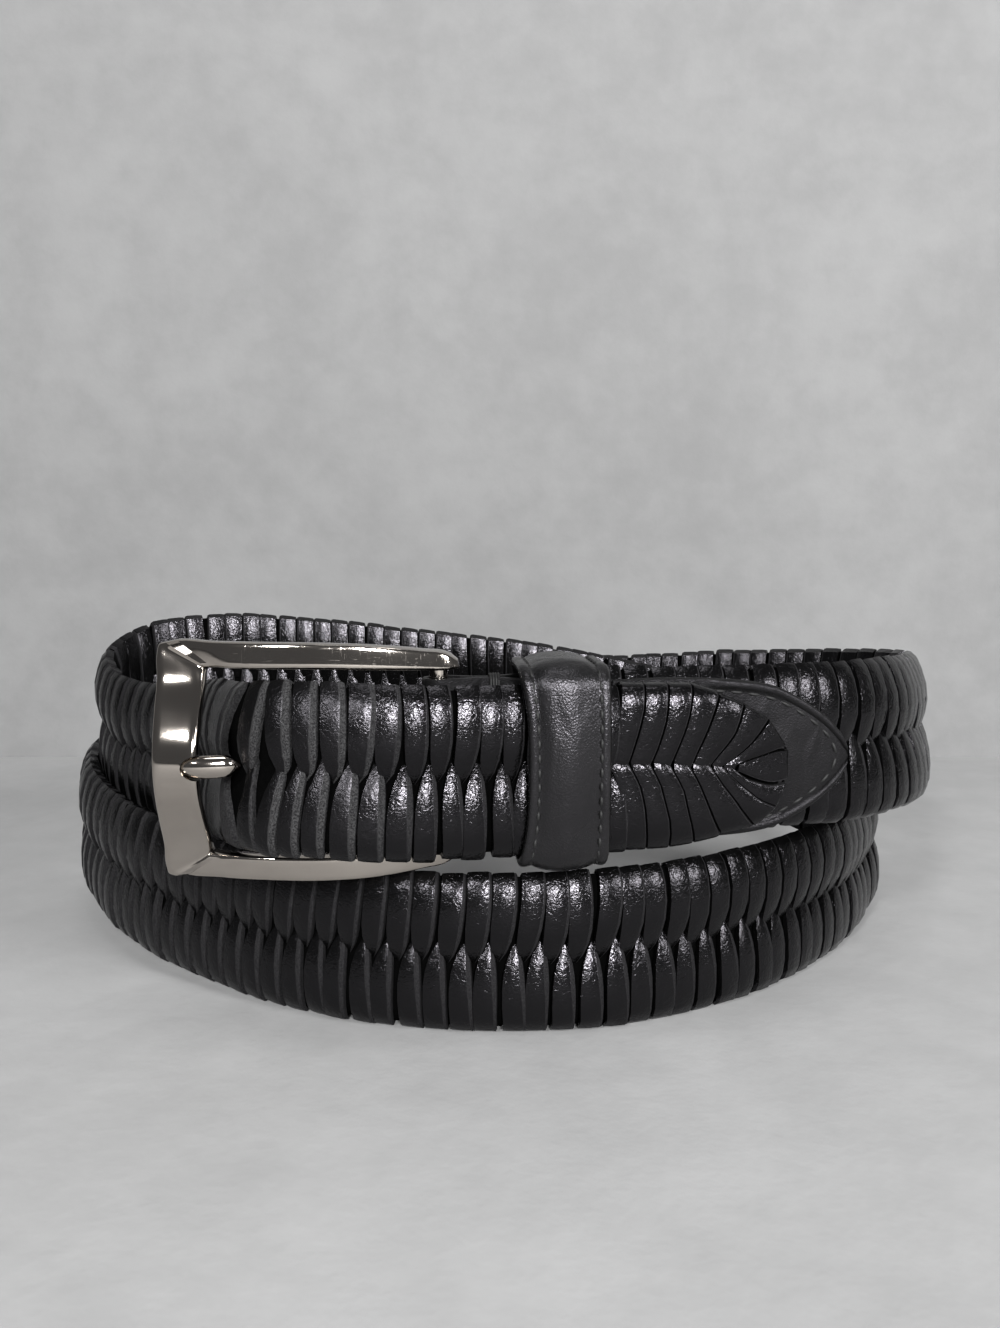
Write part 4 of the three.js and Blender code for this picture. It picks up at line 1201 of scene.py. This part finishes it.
def make_tab_stitch():
    """The thread over the edge where the tab is pinched."""
    c, s = math.cos(TAB_TURN), math.sin(TAB_TURN)
    top = PIVOT[2] + TAB_RISE + 0.475 * STRAP_WIDTH
    parts = []
    for k in range(4):
        x = 10.6 + 0.55 * k
        line = []
        for y, z in TAB_THREAD:
            line.append((PIVOT[0] + x * c - y * s, PIVOT[1] + x * s + y * c, top + z))
        rings = []
        line = np.array(line)
        for i, p in enumerate(line):
            way = line[min(i + 1, len(line) - 1)] - line[max(i - 1, 0)]
            way /= np.linalg.norm(way)
            a = np.array([c, s, 0])
            b = np.cross(way, a)
            rings.append([p + (a * math.cos(2 * math.pi * j / 8) + b * math.sin(2 * math.pi * j / 8)) * 0.32
                          for j in range(8)])
        parts.append(settle(tube_of(f"tab_thread_{k}", rings), 60))
    return join("tab_thread", parts)


# ---------------------------------------------------------------- the belt

def clothe(piece, material, slot, *nodes):
    piece.data.materials.clear()
    piece.data.materials.append(material)
    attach(piece, "root")
    if nodes:
        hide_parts(*nodes)
    return piece


strap = Strap()
braid_leather = make_braid_leather()
core_shade_leather = make_core_shade_leather()
keeper_leather = make_plain_leather("keeper_leather", 0.23, 2300, KEEPER_GLOSS)
tab_leather = make_plain_leather("tab_leather", 0.36, 2600, TAB_GLOSS)
thread = make_thread()
metal = make_metal()

hole = strap.along_at(HOLE_X)
body = strip_starts(strap, 6.0, hole - 21.5, PITCH)
upper_starts = np.concatenate([body, hole + np.array(TAIL_UPPER)])
lower_starts = np.concatenate([body, hole + np.array(TAIL_LOWER)])

core = make_core(strap, strap.along_at(58.5))
uppers, upper_copy = run_of_strips("braid_upper_strips", UPPER_STRIP, strap, upper_starts, 5)
lowers, lower_copy = run_of_strips("braid_lower_strips", LOWER_STRIP, strap, lower_starts, 9)
beside_hole = make_hole_strips(strap)
fan = make_fan(strap)
tag(uppers, "worn", worn_of(strap, upper_starts)[upper_copy])
tag(lowers, "worn", worn_of(strap, lower_starts)[lower_copy])
for strips in (uppers, lowers, beside_hole, fan):
    settle(strips, 40, False)
settle(core)

# the core wears the near-black painted shade leather
clothe(core, core_shade_leather, "braid", "braided_strap")
for strips in (uppers, lowers, beside_hole, fan):
    clothe(strips, braid_leather, "braid")
clothe(make_buckle_frame(), metal, "metal", "buckle_frame")
clothe(make_buckle_prong(), metal, "metal", "buckle_prong")
clothe(make_tab(), tab_leather, "leather", "buckle_tab")
clothe(make_tab_stitch(), thread, "leather")
clothe(make_keeper(), keeper_leather, "leather", "keeper_loop")
clothe(make_keeper_stitches(), thread, "leather")
clothe(make_tip_tab(), tab_leather, "leather", "tip_tab")
clothe(make_tip_stitches(), thread, "leather")


# ---------------------------------------------------------------- the picture

def make_stage():
    deselect()
    bpy.ops.mesh.primitive_plane_add(size=6, location=(0, -1.5, 0))
    floor = active()
    floor.name = "floor"
    floor.data.materials.append(make_paint("floor_paint", 0.416, 0.36))
    deselect()
    bpy.ops.mesh.primitive_plane_add(size=6, location=(0, WALL_Y, 3), rotation=(math.pi / 2, 0, 0))
    wall = active()
    wall.name = "wall"
    wall.data.materials.append(make_paint("wall_paint", 0.262, 0.216))


def make_light(name, place, aim, size, power):
    deselect()
    bpy.ops.object.light_add(type="AREA", location=place)
    lamp = active()
    lamp.name = name
    lamp.data.shape = "ELLIPSE"
    lamp.data.size = size[0]
    lamp.data.size_y = size[1]
    lamp.data.energy = power
    lamp.rotation_euler = (Vector(aim) - Vector(place)).to_track_quat("-Z", "Y").to_euler()


def make_camera():
    deselect()
    bpy.ops.object.camera_add(location=CAMERA_AT, rotation=CAMERA_TURN)
    camera = active()
    camera.name = "camera"
    camera.data.sensor_width = 36
    camera.data.lens = CAMERA_LENS
    camera.data.clip_start = 0.01
    bpy.context.scene.camera = camera


def make_room_light():
    world = bpy.data.worlds.new("room")
    bpy.context.scene.world = world
    world.use_nodes = True
    world.node_tree.nodes["Background"].inputs["Color"].default_value = ROOM_LIGHT


make_stage()
make_room_light()
for light in LIGHTS:
    make_light(*light)
make_camera()
bpy.context.scene.view_settings.view_transform = "Standard"
bpy.context.scene.view_settings.gamma = 0.88
